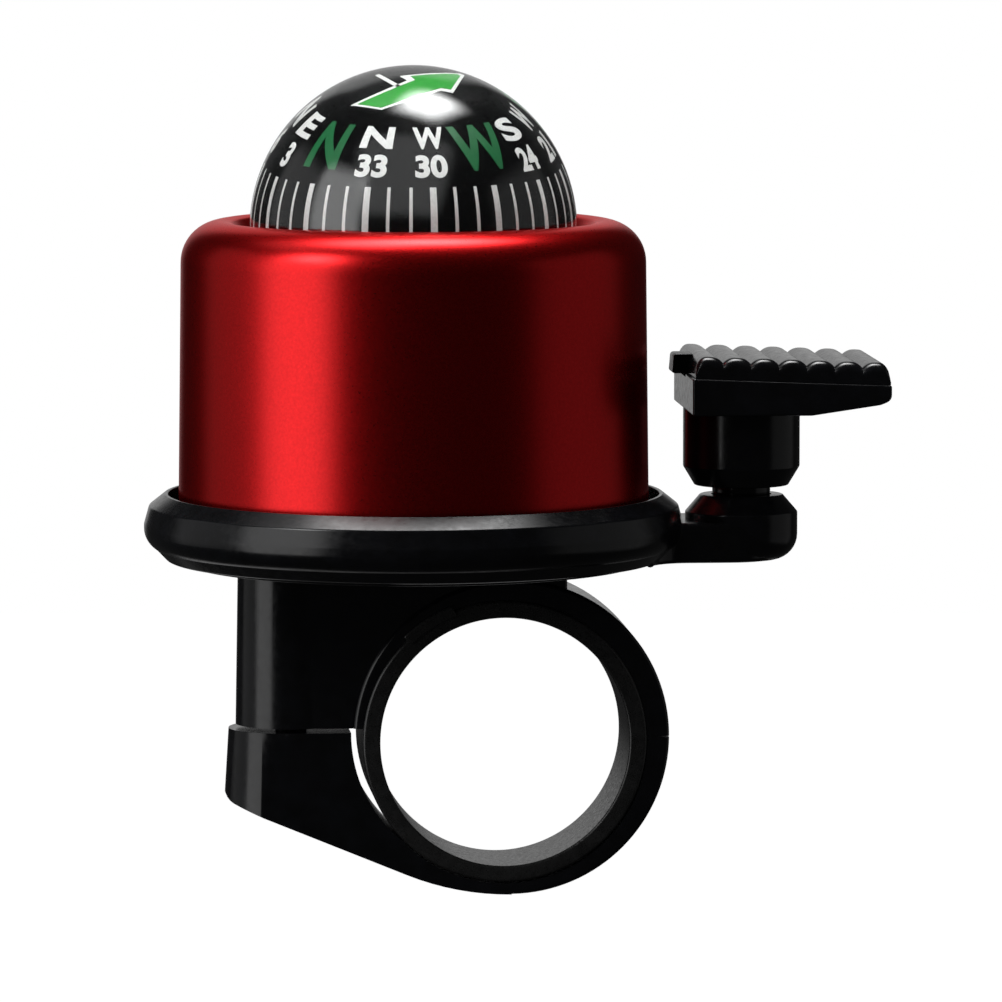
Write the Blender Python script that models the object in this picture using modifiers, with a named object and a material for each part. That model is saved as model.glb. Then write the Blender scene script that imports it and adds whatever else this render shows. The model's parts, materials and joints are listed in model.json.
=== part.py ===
"""Handlebar bell with a dome compass, modelled piece by piece.

The scene is in metres and +Z is up. Sizes below are in millimetres, and the helpers turn them into metres.
The origin is the centre of the handlebar bore, which runs along Y. The bell's own axis is upright, at BELL_X.
A pair (r, z) is a radius and a height; a pair (x, z) is a place in the side view.
"""

import math

import bmesh
import bpy
from mathutils import Matrix

MM = 0.001
CLEARANCE = 0.3  # between a piece and the one it rests on
BIG_STEPS = 32  # facets round the cup, dish, dome and card
SMALL_STEPS = 16  # facets round screws, pins and washers
COARSE_ARC, FINE_ARC = 15, 8  # degrees between the points of an arc

# Handlebar clamp
HANDLEBAR_D = 22.2
LINER_WALL = 1.3
LINER_HALF_WIDTH = 5.2
BAND_R = 14.1
BAND_X, BAND_Z = 0.6, 0.4
BAND_HALF_WIDTH = 5.0
WEB_HALF_WIDTH = 4.6
WEB_RIGHT_X = 5.6
SPLIT_Z = 1.12
SPLIT_GAP = 0.36
FLEX_X, FLEX_Z = 13.4, 0.4
UNDERSIDE_SLOPE = math.radians(22.35)
UNDERSIDE_R = 24.6
EAR_LEFT_X = -24.9
EAR_END_X = -19.4
EAR_END_R_TOP, EAR_END_R_LOW = 4.95, 5.5
EAR_FLOOR_Z = -8.0

# Column and clamp screw (M3)
COLUMN_X = -18.8
COLUMN_R_TOP, COLUMN_R_LOW = 4.67, 4.94
SCREW_R = 1.5
SCREW_TIP_Z = 11.2
SEAT_Z = -2.0
HEAD_R = 2.8
HEAD_HEIGHT = 2.0
WASHER_R = 3.0
WASHER_T = 0.6
HEAD_POCKET_R = 3.35
NUT_FLATS = 5.5
NUT_HEIGHT = 2.4
NUT_LEDGE_Z = 5.0

# Dish under the cup, with the centre post
BELL_X = -7.77
DISH_R = 24.05
DISH_Z = 16.0
DISH_STEP_R, DISH_STEP_Z = 20.3, 15.65
DISH_FLOOR_Z = 18.0
RIM_Z = 21.9
RIM_INNER_R = 21.9
POST_R = 4.5
POST_TOP_Z = 34.6

# Cup
CUP_R_LOW, CUP_R_TOP = 20.95, 20.7
CUP_Z = 21.4
CUP_WALL = 0.9
SHOULDER_R = 3.7
SHOULDER_Z = 42.5
LIP_R = 17.0
WELL_R = 15.0
WELL_FLOOR_Z = 37.2
CUP_HOLE_R = 2.3

# Bell screw stack (M4)
BELL_SCREW_R = 1.9
BELL_SCREW_TIP_Z = 27.0
BELL_HEAD_R = 3.5
BELL_HEAD_HEIGHT = 2.0
INSERT_R = 2.9
INSERT_Z = 26.0

# Compass
DOME_R = 14.57
DOME_WALL = 0.6
DOME_Z = 45.4
DOME_SKIRT_Z = 41.0
COMPASS_FOOT_R = 14.3
COMPASS_PLUG_R = 12.5
COMPASS_PLUG_Z = 42.6
PILLAR_Z = 44.0
SEAL_R = 0.43
CARD_R = 11.0
CARD_WALL = 0.6
CARD_Z = DOME_Z
CARD_RIM_Z = 43.6
CARD_TOP_Z = 55.0
FLOAT_R = 9.8
FLOAT_Z, FLOAT_TOP_Z = 46.4, 47.2
HUB_R, HUB_Z = 2.2, 44.9
JEWEL_R = 0.9
NEEDLE_R = 0.3
NEEDLE_TIP_Z = 45.05

# Arm, boss and striker lever
LEVER_X = 21.6
PIVOT_Z = 22.0
ARM_HALF_WIDTH = 4.8
ARM_Z, ARM_TOP_Z = 15.8, 19.4
BOSS_R = 5.03
BOSS_Z, BOSS_TOP_Z = 15.7, 21.55
BALL_R = 2.6
SOCKET_R = 2.75
SPRING_BORE_R = 1.9
PAD_BORE_R = 2.1
LEVER_POST_R = 5.22
LEVER_POST_Z = 22.4
PAD_X, PAD_END_X = 16.9, 34.1
PAD_Z = 29.2
PAD_HALF_WIDTH = 8.3
PAD_TOP_Z, PAD_TOP_END_Z = 32.55, 31.85
CAP_INSET = 0.3
CAP_CREST_Z, CAP_CREST_END_Z = 34.5, 33.8
RIBS = 7
RIB_HEIGHT = 0.45
HAMMER_X, HAMMER_END_X = 15.2, 26.0
HAMMER_Z, HAMMER_TOP_Z = 32.5, 34.25
TONGUE_TOP_Z = 33.3
HAMMER_HALF_WIDTH = 1.6
SPRING_R = 1.15
SPRING_WIRE_R = 0.22
SPRING_TURNS = 14
SPRING_Z, SPRING_TOP_Z = 18.0, 29.4
PIN_R = 0.5
PIN_HALF_LENGTH = 3.0
LOWER_PIN_Z, UPPER_PIN_Z = 17.0, 30.7

BLACK = (0.02, 0.02, 0.022)
RED = (0.62, 0.01, 0.02)
STEEL = (0.6, 0.6, 0.62)
BRASS = (0.75, 0.55, 0.22)
CLEAR = (0.85, 0.88, 0.9)
RUBBER = (0.03, 0.03, 0.03)


# Helpers


def clear_scene():
    for thing in list(bpy.data.objects):
        bpy.data.objects.remove(thing)


def new_collection(name):
    collection = bpy.data.collections.new(name)
    bpy.context.scene.collection.children.link(collection)
    return collection


def material(name, colour, roughness, metallic=0.0, transmission=0.0):
    made = bpy.data.materials.new(name)
    made.use_nodes = True
    shader = made.node_tree.nodes["Principled BSDF"]
    shader.inputs["Base Color"].default_value = (*colour, 1.0)
    shader.inputs["Roughness"].default_value = roughness
    shader.inputs["Metallic"].default_value = metallic
    shader.inputs["Transmission Weight"].default_value = transmission
    return made


def finish_part(obj, look):
    """Puts a piece in the bell's collection, with its own material and smooth shading."""
    parts.objects.link(obj)
    obj.data.materials.append(material(obj.name, *look))
    if obj.type == "MESH":
        obj.data.shade_smooth()
        obj.data.set_sharp_from_angle(angle=math.radians(35))
    return obj


def finish_tool(obj):
    """Puts a shape that only cuts or joins others in the tools' collection."""
    tools.objects.link(obj)
    obj.hide_render = True
    obj.display_type = "WIRE"
    return obj


def arc(centre, radius, start, end, step=COARSE_ARC):
    """Points on a circle from angle start to angle end, both included, in degrees."""
    count = max(2, math.ceil(abs(end - start) / step))
    turn = [math.radians(start + (end - start) * i / count) for i in range(count + 1)]
    return [(centre[0] + radius * math.cos(a), centre[1] + radius * math.sin(a)) for a in turn]


def turned(name, profile, x=0.0, steps=BIG_STEPS, closed=False, along_y=False):
    """A profile of (r, z) pairs, clockwise, spun about a vertical axis at x, or about Y."""
    edges = [(i, i + 1) for i in range(len(profile) - 1)]
    if closed:
        edges.append((len(profile) - 1, 0))
    mesh = bpy.data.meshes.new(name)
    mesh.from_pydata([(r * MM, 0, z * MM) for r, z in profile], edges, [])
    obj = bpy.data.objects.new(name, mesh)
    obj.location = (x * MM, 0, 0)
    if along_y:
        obj.rotation_euler = (math.pi / 2, 0, 0)
    spin = obj.modifiers.new("Spin", "SCREW")
    spin.steps = steps
    spin.render_steps = steps
    spin.use_merge_vertices = True
    spin.merge_threshold = 1e-6
    spin.use_smooth_shade = True
    return obj


def slab(name, outline, low, high):
    """An (x, z) outline pushed along Y from low to high."""
    curve = bpy.data.curves.new(name, "CURVE")
    curve.dimensions = "2D"
    curve.fill_mode = "BOTH"
    curve.extrude = (high - low) / 2 * MM
    spline = curve.splines.new("POLY")
    spline.points.add(len(outline) - 1)
    for point, (u, v) in zip(spline.points, outline):
        point.co = (u * MM, v * MM, 0, 1)
    spline.use_cyclic_u = True
    guide = bpy.data.objects.new(name + "_outline", curve)
    guide.location = (0, (low + high) / 2 * MM, 0)
    guide.rotation_euler = (math.pi / 2, 0, 0)
    bpy.context.scene.collection.objects.link(guide)
    bpy.context.view_layer.update()
    evaluated = guide.evaluated_get(bpy.context.evaluated_depsgraph_get())
    mesh = bpy.data.meshes.new_from_object(evaluated)
    welded = bmesh.new()
    welded.from_mesh(mesh)
    bmesh.ops.remove_doubles(welded, verts=welded.verts, dist=1e-7)
    bmesh.ops.recalc_face_normals(welded, faces=welded.faces)
    welded.to_mesh(mesh)
    welded.free()
    obj = bpy.data.objects.new(name, mesh)
    obj.matrix_world = guide.matrix_world
    bpy.data.objects.remove(guide)
    return obj


def from_bmesh(name, shape):
    mesh = bpy.data.meshes.new(name)
    shape.to_mesh(mesh)
    shape.free()
    return bpy.data.objects.new(name, mesh)


def cone(name, x, low, high, r_low, r_high, steps=SMALL_STEPS, turn=0.0):
    """An upright cone or cylinder on the X axis, from height low to high."""
    shape = bmesh.new()
    place = Matrix.Translation((x * MM, 0, (low + high) / 2 * MM)) @ Matrix.Rotation(turn, 4, "Z")
    bmesh.ops.create_cone(
        shape, cap_ends=True, segments=steps, radius1=r_low * MM, radius2=r_high * MM,
        depth=(high - low) * MM, matrix=place,
    )
    return from_bmesh(name, shape)


def rod_along_y(name, x, z, radius, half_length, steps=SMALL_STEPS):
    shape = bmesh.new()
    place = Matrix.Translation((x * MM, 0, z * MM)) @ Matrix.Rotation(math.pi / 2, 4, "X")
    bmesh.ops.create_cone(
        shape, cap_ends=True, segments=steps, radius1=radius * MM, radius2=radius * MM,
        depth=2 * half_length * MM, matrix=place,
    )
    return from_bmesh(name, shape)


def block(name, x, y, z):
    """A box from three (low, high) pairs."""
    shape = bmesh.new()
    middle = [(low + high) / 2 * MM for low, high in (x, y, z)]
    size = [(high - low) * MM for low, high in (x, y, z)]
    place = Matrix.Translation(middle) @ Matrix.Diagonal((*size, 1))
    bmesh.ops.create_cube(shape, size=1, matrix=place)
    return from_bmesh(name, shape)


def combine(obj, operation, *others):
    """Cuts the others from obj, joins them to it or keeps what they share, with Booleans."""
    for other in others:
        if other.name not in tools.objects:
            finish_tool(other)
        step = obj.modifiers.new(other.name, "BOOLEAN")
        step.operation = operation
        step.solver = "EXACT"
        step.object = other
    return obj


def ring(name, x, inner, outer, low, high, steps=SMALL_STEPS):
    """A flat washer."""
    profile = [(inner, high), (outer, high), (outer, low), (inner, low)]
    return turned(name, profile, x, steps, closed=True)


def pin_slot_cut(name, low, high):
    """The cutter for the slot across the lever's axis that a spring pin lies in."""
    half_width, reach = PIN_R + CLEARANCE, PIN_HALF_LENGTH + CLEARANCE
    return block(name, (LEVER_X - half_width, LEVER_X + half_width), (-reach, reach), (low, high))


def cross_recess(name, x, low, high, span=3.2, width=0.7):
    """The two crossed blades that cut a screw head's recess."""
    first = block(name, (x - span / 2, x + span / 2), (-width / 2, width / 2), (low, high))
    second = block(name + "_b", (x - width / 2, x + width / 2), (-span / 2, span / 2), (low, high))
    return combine(first, "UNION", second)


# Base moulding: dish, post, arm, boss, column, web and upper jaw


def dish_profile():
    """The dish with its rolled rim and hollow centre post, as one turned shape."""
    post = [(0, 22.0), (2.2, 22.0), (2.2, 25.7), (3.2, 25.7), (3.2, POST_TOP_Z)]
    post += [(POST_R, POST_TOP_Z), (POST_R, 19.5), (6.0, DISH_FLOOR_Z)]
    inside = [(RIM_INNER_R - 1.2, DISH_FLOOR_Z), (RIM_INNER_R, DISH_FLOOR_Z + 1.2)]
    rim = [(RIM_INNER_R, RIM_Z), (RIM_INNER_R + 0.3, RIM_Z), (DISH_R - 0.45, RIM_Z - 1.1)]
    rim += [(DISH_R, RIM_Z - 2.7), (DISH_R, RIM_Z - 3.05)]
    low = arc((DISH_R - 2.05, DISH_Z + 2.85), 2.05, -20, -60)
    under = [(DISH_R - 2.05, DISH_Z), (DISH_STEP_R + 0.3, DISH_Z)]
    return post + inside + rim + low + under + [(DISH_STEP_R, DISH_STEP_Z), (0, DISH_STEP_Z)]


def upper_jaw_outline():
    """The band's upper half: the outer circle over the top and the bore back, past the split."""
    flex_z = FLEX_Z + CLEARANCE / 2
    bore_r = HANDLEBAR_D / 2 + LINER_WALL + CLEARANCE
    right = math.degrees(math.asin(flex_z / bore_r))
    outer = arc((BAND_X, BAND_Z), BAND_R, 0.6, 182, FINE_ARC)
    return outer + arc((0, 0), bore_r, 181, right, FINE_ARC)


def web_outline():
    """The plate that ties the column, the band and the dish together, down past the split."""
    inside_r = BAND_R - 0.7
    right = math.degrees(math.acos(WEB_RIGHT_X / inside_r))
    top_z = DISH_Z + 0.8
    return [(COLUMN_X, top_z), (WEB_RIGHT_X, top_z)] + arc((0, 0), inside_r, right, 179) + [(COLUMN_X, 0.3)]


def boss_profile():
    edge = arc((BOSS_R - 2.3, BOSS_Z + 2.3), 2.3, 0, -90)
    return [(0, BOSS_TOP_Z), (3.7, BOSS_TOP_Z), (BOSS_R, 20.0)] + edge + [(0, BOSS_Z)]


def socket_profile():
    """The ball's seat and the spring's bore below it."""
    low = -math.degrees(math.acos(SPRING_BORE_R / SOCKET_R))
    return arc((0, PIVOT_Z), SOCKET_R, 90, low) + [(SPRING_BORE_R, BOSS_Z - 2), (0, BOSS_Z - 2)]


def make_base_moulding():
    base = turned("base_moulding", dish_profile(), BELL_X)
    arm = block("arm", (8, LEVER_X), (-ARM_HALF_WIDTH, ARM_HALF_WIDTH), (ARM_Z, ARM_TOP_Z))
    boss = turned("boss", boss_profile(), LEVER_X, 28)
    column = cone("column", COLUMN_X, 0, DISH_Z + 1.2, COLUMN_R_LOW, COLUMN_R_TOP, 28)
    web = slab("web", web_outline(), -WEB_HALF_WIDTH, WEB_HALF_WIDTH)
    jaw = slab("upper_jaw", upper_jaw_outline(), -BAND_HALF_WIDTH, BAND_HALF_WIDTH)
    combine(base, "UNION", arm, boss, column, web, jaw)
    socket = turned("socket_cut", socket_profile(), LEVER_X, 28)
    pin_slot = pin_slot_cut("lower_pin_slot", BOSS_Z - 1, LOWER_PIN_Z + PIN_R + CLEARANCE)
    nut_r = (NUT_FLATS + 2 * CLEARANCE) / math.sqrt(3)
    nut_pocket = cone("nut_pocket", COLUMN_X, NUT_LEDGE_Z, DISH_FLOOR_Z + 2, nut_r, nut_r, 6)
    screw_bore = cone("screw_bore", COLUMN_X, -2, NUT_LEDGE_Z + 1, SCREW_R + CLEARANCE, SCREW_R + CLEARANCE)
    split = block("split_cut", (-30, -5), (-10, 10), (-5, SPLIT_Z + SPLIT_GAP / 2))
    combine(socket, "UNION", pin_slot)
    combine(nut_pocket, "UNION", screw_bore)
    combine(base, "DIFFERENCE", socket, nut_pocket, split)
    return finish_part(base, (BLACK, 0.3))


# Clamp


def strap_outline():
    """The lower jaw's outline: round on the right, then a straight underside up to the ear."""
    top_z, flex_z = SPLIT_Z - SPLIT_GAP / 2, FLEX_Z - CLEARANCE / 2
    slope = math.degrees(UNDERSIDE_SLOPE)
    bottom_z = BAND_Z - BAND_R
    outline = arc((BAND_X, BAND_Z), BAND_R, -0.6, -90, FINE_ARC)
    blend = arc((BAND_X, bottom_z + UNDERSIDE_R), UNDERSIDE_R, -90, -90 - slope, FINE_ARC)
    corner_z = blend[-1][1] + (blend[-1][0] - EAR_LEFT_X) * math.tan(UNDERSIDE_SLOPE)
    ear = [(EAR_LEFT_X, corner_z), (EAR_LEFT_X, top_z)]
    return outline + blend[1:] + ear + [(-10, top_z), (10, flex_z)]


def make_clamp_strap():
    strap = slab("clamp_strap", strap_outline(), -BAND_HALF_WIDTH, BAND_HALF_WIDTH)
    taper = (EAR_END_R_LOW - EAR_END_R_TOP) / (SPLIT_Z - EAR_FLOOR_Z)
    low, high = -16.0, 3.0
    plan = cone(
        "ear_plan", EAR_END_X, low, high, EAR_END_R_LOW + (EAR_FLOOR_Z - low) * taper,
        EAR_END_R_TOP - (high - SPLIT_Z) * taper, 32,
    )
    rest = block("strap_plan", (EAR_END_X, 20), (-BAND_HALF_WIDTH - 1, BAND_HALF_WIDTH + 1), (low, high))
    combine(plan, "UNION", rest)
    combine(strap, "INTERSECT", plan)
    bore_r = HANDLEBAR_D / 2 + LINER_WALL + CLEARANCE
    bore = rod_along_y("strap_bore", 0, 0, bore_r, BAND_HALF_WIDTH + 1, 48)
    relief = rod_along_y("strap_relief", -1.1, 0.9, bore_r - 0.1, BAND_HALF_WIDTH + 2, 48)
    hole = cone("ear_hole", COLUMN_X, SEAT_Z - 1, 3, SCREW_R + 0.4, SCREW_R + 0.4)
    pocket = cone("head_pocket", COLUMN_X, -14, SEAT_Z, HEAD_POCKET_R, HEAD_POCKET_R, 28)
    combine(strap, "DIFFERENCE", bore, relief, hole, pocket)
    return finish_part(strap, (BLACK, 0.3))


def make_clamp_liner():
    inner, outer = HANDLEBAR_D / 2, HANDLEBAR_D / 2 + LINER_WALL
    w = LINER_HALF_WIDTH
    profile = [(inner, w), (outer - 0.3, w), (outer, w - 0.3)]
    profile += [(outer, 0.3 - w), (outer - 0.3, -w), (inner, -w)]
    liner = turned("clamp_liner", profile, steps=48, closed=True, along_y=True)
    return finish_part(liner, (RUBBER, 0.55))


def make_clamp_screw():
    head_z = SEAT_Z - 2 * CLEARANCE - WASHER_T
    low_z = head_z - HEAD_HEIGHT
    profile = [(0, SCREW_TIP_Z), (SCREW_R - 0.3, SCREW_TIP_Z), (SCREW_R, SCREW_TIP_Z - 0.3)]
    profile += [(SCREW_R, head_z), (HEAD_R, head_z), (HEAD_R, low_z + 0.8), (HEAD_R - 0.8, low_z), (0, low_z)]
    screw = turned("clamp_screw", profile, COLUMN_X, SMALL_STEPS)
    combine(screw, "DIFFERENCE", cross_recess("clamp_recess", COLUMN_X, low_z - 1, low_z + 1.1))
    return finish_part(screw, (STEEL, 0.3, 1.0))


def make_clamp_washer():
    top_z = SEAT_Z - CLEARANCE
    washer = ring("clamp_washer", COLUMN_X, SCREW_R + CLEARANCE, WASHER_R, top_z - WASHER_T, top_z)
    return finish_part(washer, (STEEL, 0.3, 1.0))


def make_clamp_nut():
    low_z = NUT_LEDGE_Z + CLEARANCE
    nut_r = NUT_FLATS / math.sqrt(3)
    nut = cone("clamp_nut", COLUMN_X, low_z, low_z + NUT_HEIGHT, nut_r, nut_r, 6)
    bore_r = SCREW_R + CLEARANCE
    bore = cone("nut_bore", COLUMN_X, low_z - 1, low_z + NUT_HEIGHT + 1, bore_r, bore_r)
    combine(nut, "DIFFERENCE", bore)
    return finish_part(nut, (STEEL, 0.3, 1.0))


# Cup and its screw stack


def cup_profile():
    """The drawn cup: well floor, well wall, rolled lip, shoulder, outer wall and the same back inside."""
    t = CUP_WALL
    well = [(CUP_HOLE_R, WELL_FLOOR_Z), (WELL_R - 0.8, WELL_FLOOR_Z), (WELL_R, WELL_FLOOR_Z + 0.8)]
    lip = [(WELL_R, 44.0), (WELL_R + 0.4, 44.9), (WELL_R + 1.1, 45.8)]
    shoulder = arc((LIP_R, SHOULDER_Z), SHOULDER_R, 90, 0)
    wall = [(CUP_R_LOW, CUP_Z), (CUP_R_LOW - t, CUP_Z)]
    inner_shoulder = arc((LIP_R, SHOULDER_Z), SHOULDER_R - t, 0, 90)
    back = [(WELL_R + 1.2, 44.6), (WELL_R + t, 43.8), (WELL_R + t, 37.3), (WELL_R, WELL_FLOOR_Z - t)]
    return well + lip + shoulder + wall + inner_shoulder + back + [(CUP_HOLE_R, WELL_FLOOR_Z - t)]


def make_bell_cup():
    return finish_part(turned("bell_cup", cup_profile(), BELL_X, closed=True), (RED, 0.25, 1.0))


def make_bell_grommet():
    top_z = WELL_FLOOR_Z - CUP_WALL - CLEARANCE
    grommet = ring("bell_grommet", BELL_X, CUP_HOLE_R, 6.0, POST_TOP_Z + CLEARANCE, top_z)
    return finish_part(grommet, (RUBBER, 0.7))


def make_bell_washer():
    low_z = WELL_FLOOR_Z + CLEARANCE
    washer = ring("bell_washer", BELL_X, CUP_HOLE_R, 5.0, low_z, low_z + 0.8)
    return finish_part(washer, (STEEL, 0.3, 1.0))


def make_bell_screw():
    head_z = WELL_FLOOR_Z + 2 * CLEARANCE + 0.8
    top_z = head_z + BELL_HEAD_HEIGHT
    profile = [(0, top_z), (BELL_HEAD_R - 0.8, top_z), (BELL_HEAD_R, top_z - 0.8), (BELL_HEAD_R, head_z)]
    profile += [(BELL_SCREW_R, head_z), (BELL_SCREW_R, BELL_SCREW_TIP_Z + 0.3)]
    profile += [(BELL_SCREW_R - 0.3, BELL_SCREW_TIP_Z), (0, BELL_SCREW_TIP_Z)]
    screw = turned("bell_screw", profile, BELL_X, SMALL_STEPS)
    combine(screw, "DIFFERENCE", cross_recess("bell_recess", BELL_X, top_z - 1.1, top_z + 1, span=3.8))
    return finish_part(screw, (STEEL, 0.3, 1.0))


def make_post_insert():
    bore_r, top_z = BELL_SCREW_R + CLEARANCE, POST_TOP_Z - CLEARANCE
    insert = ring("post_insert", BELL_X, bore_r, INSERT_R, INSERT_Z, top_z)
    return finish_part(insert, (BRASS, 0.35, 1.0))


# Compass


def make_adhesive_ring():
    low_z = WELL_FLOOR_Z + CLEARANCE
    tape = ring("adhesive_ring", BELL_X, 10.8, 13.9, low_z, low_z + 0.6, BIG_STEPS)
    return finish_part(tape, (RUBBER, 0.8))


def make_compass_base():
    foot_z, flange_z = WELL_FLOOR_Z + 2 * CLEARANCE + 0.6, DOME_SKIRT_Z - CLEARANCE
    needle_hole = NEEDLE_R + CLEARANCE
    profile = [(0, 41.6), (needle_hole, 41.6), (needle_hole, PILLAR_Z), (1.8, PILLAR_Z)]
    profile += [(HUB_R, COMPASS_PLUG_Z), (COMPASS_PLUG_R, COMPASS_PLUG_Z), (COMPASS_PLUG_R, flange_z)]
    profile += [(COMPASS_FOOT_R, flange_z), (COMPASS_FOOT_R, foot_z), (10.5, foot_z)]
    profile += [(10.5, DOME_SKIRT_Z), (0, DOME_SKIRT_Z)]
    return finish_part(turned("compass_base", profile, BELL_X), (BLACK, 0.4))


def make_compass_seal():
    centre = ((COMPASS_PLUG_R + DOME_R - DOME_WALL) / 2, 41.9)
    section = arc(centre, SEAL_R, 180, -180, 45)
    seal = turned("compass_seal", section[:-1], BELL_X, closed=True)
    return finish_part(seal, (RUBBER, 0.5))


def make_compass_dome():
    inner = DOME_R - DOME_WALL
    profile = arc((0, DOME_Z), DOME_R, 90, 0) + [(DOME_R, DOME_SKIRT_Z), (inner, DOME_SKIRT_Z)]
    profile += arc((0, DOME_Z), inner, 0, 90)
    return finish_part(turned("compass_dome", profile, BELL_X), (CLEAR, 0.03, 0.0, 1.0))


def make_compass_card():
    inner = CARD_R - CARD_WALL
    drop, rise = CARD_RIM_Z - CARD_Z, CARD_TOP_Z - CARD_Z
    low, low_inner = math.degrees(math.asin(drop / CARD_R)), math.degrees(math.asin(drop / inner))
    top, top_inner = math.degrees(math.asin(rise / CARD_R)), math.degrees(math.asin((rise - CARD_WALL) / inner))
    profile = [(0, CARD_TOP_Z)] + arc((0, CARD_Z), CARD_R, top, low)
    profile += arc((0, CARD_Z), inner, low_inner, top_inner) + [(0, CARD_TOP_Z - CARD_WALL)]
    return finish_part(turned("compass_card", profile, BELL_X), (BLACK, 0.4))


def make_card_float():
    pocket_r, pocket_z = JEWEL_R + CLEARANCE, 46.0
    profile = [(0, FLOAT_TOP_Z), (FLOAT_R, FLOAT_TOP_Z), (FLOAT_R, FLOAT_Z), (HUB_R, FLOAT_Z), (HUB_R, HUB_Z)]
    profile += [(pocket_r, HUB_Z), (pocket_r, pocket_z), (0, pocket_z)]
    return finish_part(turned("card_float", profile, BELL_X), (BLACK, 0.5))


def make_pivot_jewel():
    profile = [(0, 45.7), (JEWEL_R, 45.7), (JEWEL_R, HUB_Z), (0.5, HUB_Z), (0, NEEDLE_TIP_Z + CLEARANCE)]
    return finish_part(turned("pivot_jewel", profile, BELL_X, SMALL_STEPS), ((0.5, 0.02, 0.06), 0.1))


def make_pivot_needle():
    profile = [(0, NEEDLE_TIP_Z), (NEEDLE_R, NEEDLE_TIP_Z - 0.45), (NEEDLE_R, 41.9), (0, 41.9)]
    return finish_part(turned("pivot_needle", profile, BELL_X, 12), (STEEL, 0.25, 1.0))


def make_card_magnet():
    magnet = ring("card_magnet", BELL_X, 3.5, 6.5, 44.2, FLOAT_Z - CLEARANCE, 24)
    return finish_part(magnet, ((0.25, 0.25, 0.26), 0.5, 0.6))


# Striker


def lever_profile():
    """The lever's post and the ball on its lower end, round the spring's bore."""
    high = math.degrees(math.asin((LEVER_POST_Z - PIVOT_Z) / BALL_R))
    low = -math.degrees(math.acos(SPRING_BORE_R / BALL_R))
    top_z = PAD_Z + 1.3
    profile = [(SPRING_BORE_R, top_z), (LEVER_POST_R, top_z), (LEVER_POST_R, 24.1), (4.2, LEVER_POST_Z)]
    return profile + arc((0, PIVOT_Z), BALL_R, high, low)


def make_lever_body():
    lever = turned("lever_body", lever_profile(), LEVER_X, 28, closed=True)
    nose = arc((PAD_END_X - 1.2, 31.1), 1.2, -75, 0)
    outline = [(PAD_X, PAD_Z), (27.0, PAD_Z)] + nose + [(PAD_END_X, PAD_TOP_END_Z), (PAD_X, PAD_TOP_Z)]
    pad = slab("pad", outline, -PAD_HALF_WIDTH, PAD_HALF_WIDTH)
    combine(lever, "UNION", pad)
    bore = cone("lever_bore", LEVER_X, PAD_Z - 0.5, 34, PAD_BORE_R, PAD_BORE_R, 24)
    tongue = HAMMER_HALF_WIDTH + CLEARANCE
    slot_end_x = HAMMER_END_X + CLEARANCE
    hammer_slot = block("hammer_slot", (PAD_X - 1, slot_end_x), (-tongue, tongue), (HAMMER_Z - CLEARANCE, 34))
    pin_slot = pin_slot_cut("upper_pin_slot", UPPER_PIN_Z - PIN_R - CLEARANCE, 34)
    combine(lever, "DIFFERENCE", bore, hammer_slot, pin_slot)
    return finish_part(lever, (BLACK, 0.3))


def cap_outline():
    """The thumb cap's side view: a flat underside and a row of half-round ribs on top."""
    left, right = PAD_X + CAP_INSET, PAD_END_X - CAP_INSET
    pitch = (right - left) / RIBS
    slope = (CAP_CREST_END_Z - CAP_CREST_Z) / (right - left)
    top = []
    for i in range(RIBS):
        for share in (0, 0.12, 0.3, 0.5, 0.7, 0.88):
            x = left + (i + share) * pitch
            rise = RIB_HEIGHT * math.sqrt(1 - (2 * share - 1) ** 2)
            top.append((x, CAP_CREST_Z - RIB_HEIGHT + slope * (x - left) + rise))
    top.append((right, CAP_CREST_END_Z - RIB_HEIGHT))
    return top + [(right, PAD_TOP_END_Z + CLEARANCE), (left, PAD_TOP_Z + CLEARANCE)]


def make_thumb_cap():
    cap = slab("thumb_cap", cap_outline(), -PAD_HALF_WIDTH + CAP_INSET, PAD_HALF_WIDTH - CAP_INSET)
    tongue = HAMMER_HALF_WIDTH + CLEARANCE
    slot_end_x = HAMMER_END_X + CLEARANCE
    slot = block("cap_slot", (PAD_X - 1, slot_end_x), (-tongue, tongue), (31, TONGUE_TOP_Z + CLEARANCE))
    combine(cap, "DIFFERENCE", slot)
    return finish_part(cap, (BLACK, 0.3))


def make_striker_hammer():
    """A stamped tongue with a raised lip, which is what meets the cup."""
    lip_x = PAD_X - CLEARANCE
    outline = [(HAMMER_X + 0.2, HAMMER_Z), (HAMMER_END_X, HAMMER_Z), (HAMMER_END_X, TONGUE_TOP_Z)]
    outline += [(lip_x, TONGUE_TOP_Z), (lip_x, HAMMER_TOP_Z), (HAMMER_X + 0.4, HAMMER_TOP_Z)]
    outline += [(HAMMER_X, HAMMER_TOP_Z - 0.35), (HAMMER_X, HAMMER_Z + 0.3)]
    hammer = slab("striker_hammer", outline, -HAMMER_HALF_WIDTH, HAMMER_HALF_WIDTH)
    return finish_part(hammer, (BLACK, 0.35, 0.8))


def spring_path():
    """Lower hook, coil and upper hook of the extension spring, as (x, y, z) from the lever's axis."""
    hook_r = PIN_R + SPRING_WIRE_R + CLEARANCE
    points = [(x, 0, z) for x, z in arc((0, LOWER_PIN_Z), hook_r, -180, 0, 45)]
    turns = 8 * SPRING_TURNS
    for i in range(turns + 1):
        turn = 2 * math.pi * i / 8
        z = SPRING_Z + (SPRING_TOP_Z - SPRING_Z) * i / turns
        points.append((SPRING_R * math.cos(turn), SPRING_R * math.sin(turn), z))
    return points + [(x, 0, z) for x, z in arc((0, UPPER_PIN_Z), hook_r, 0, 180, 45)]


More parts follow.
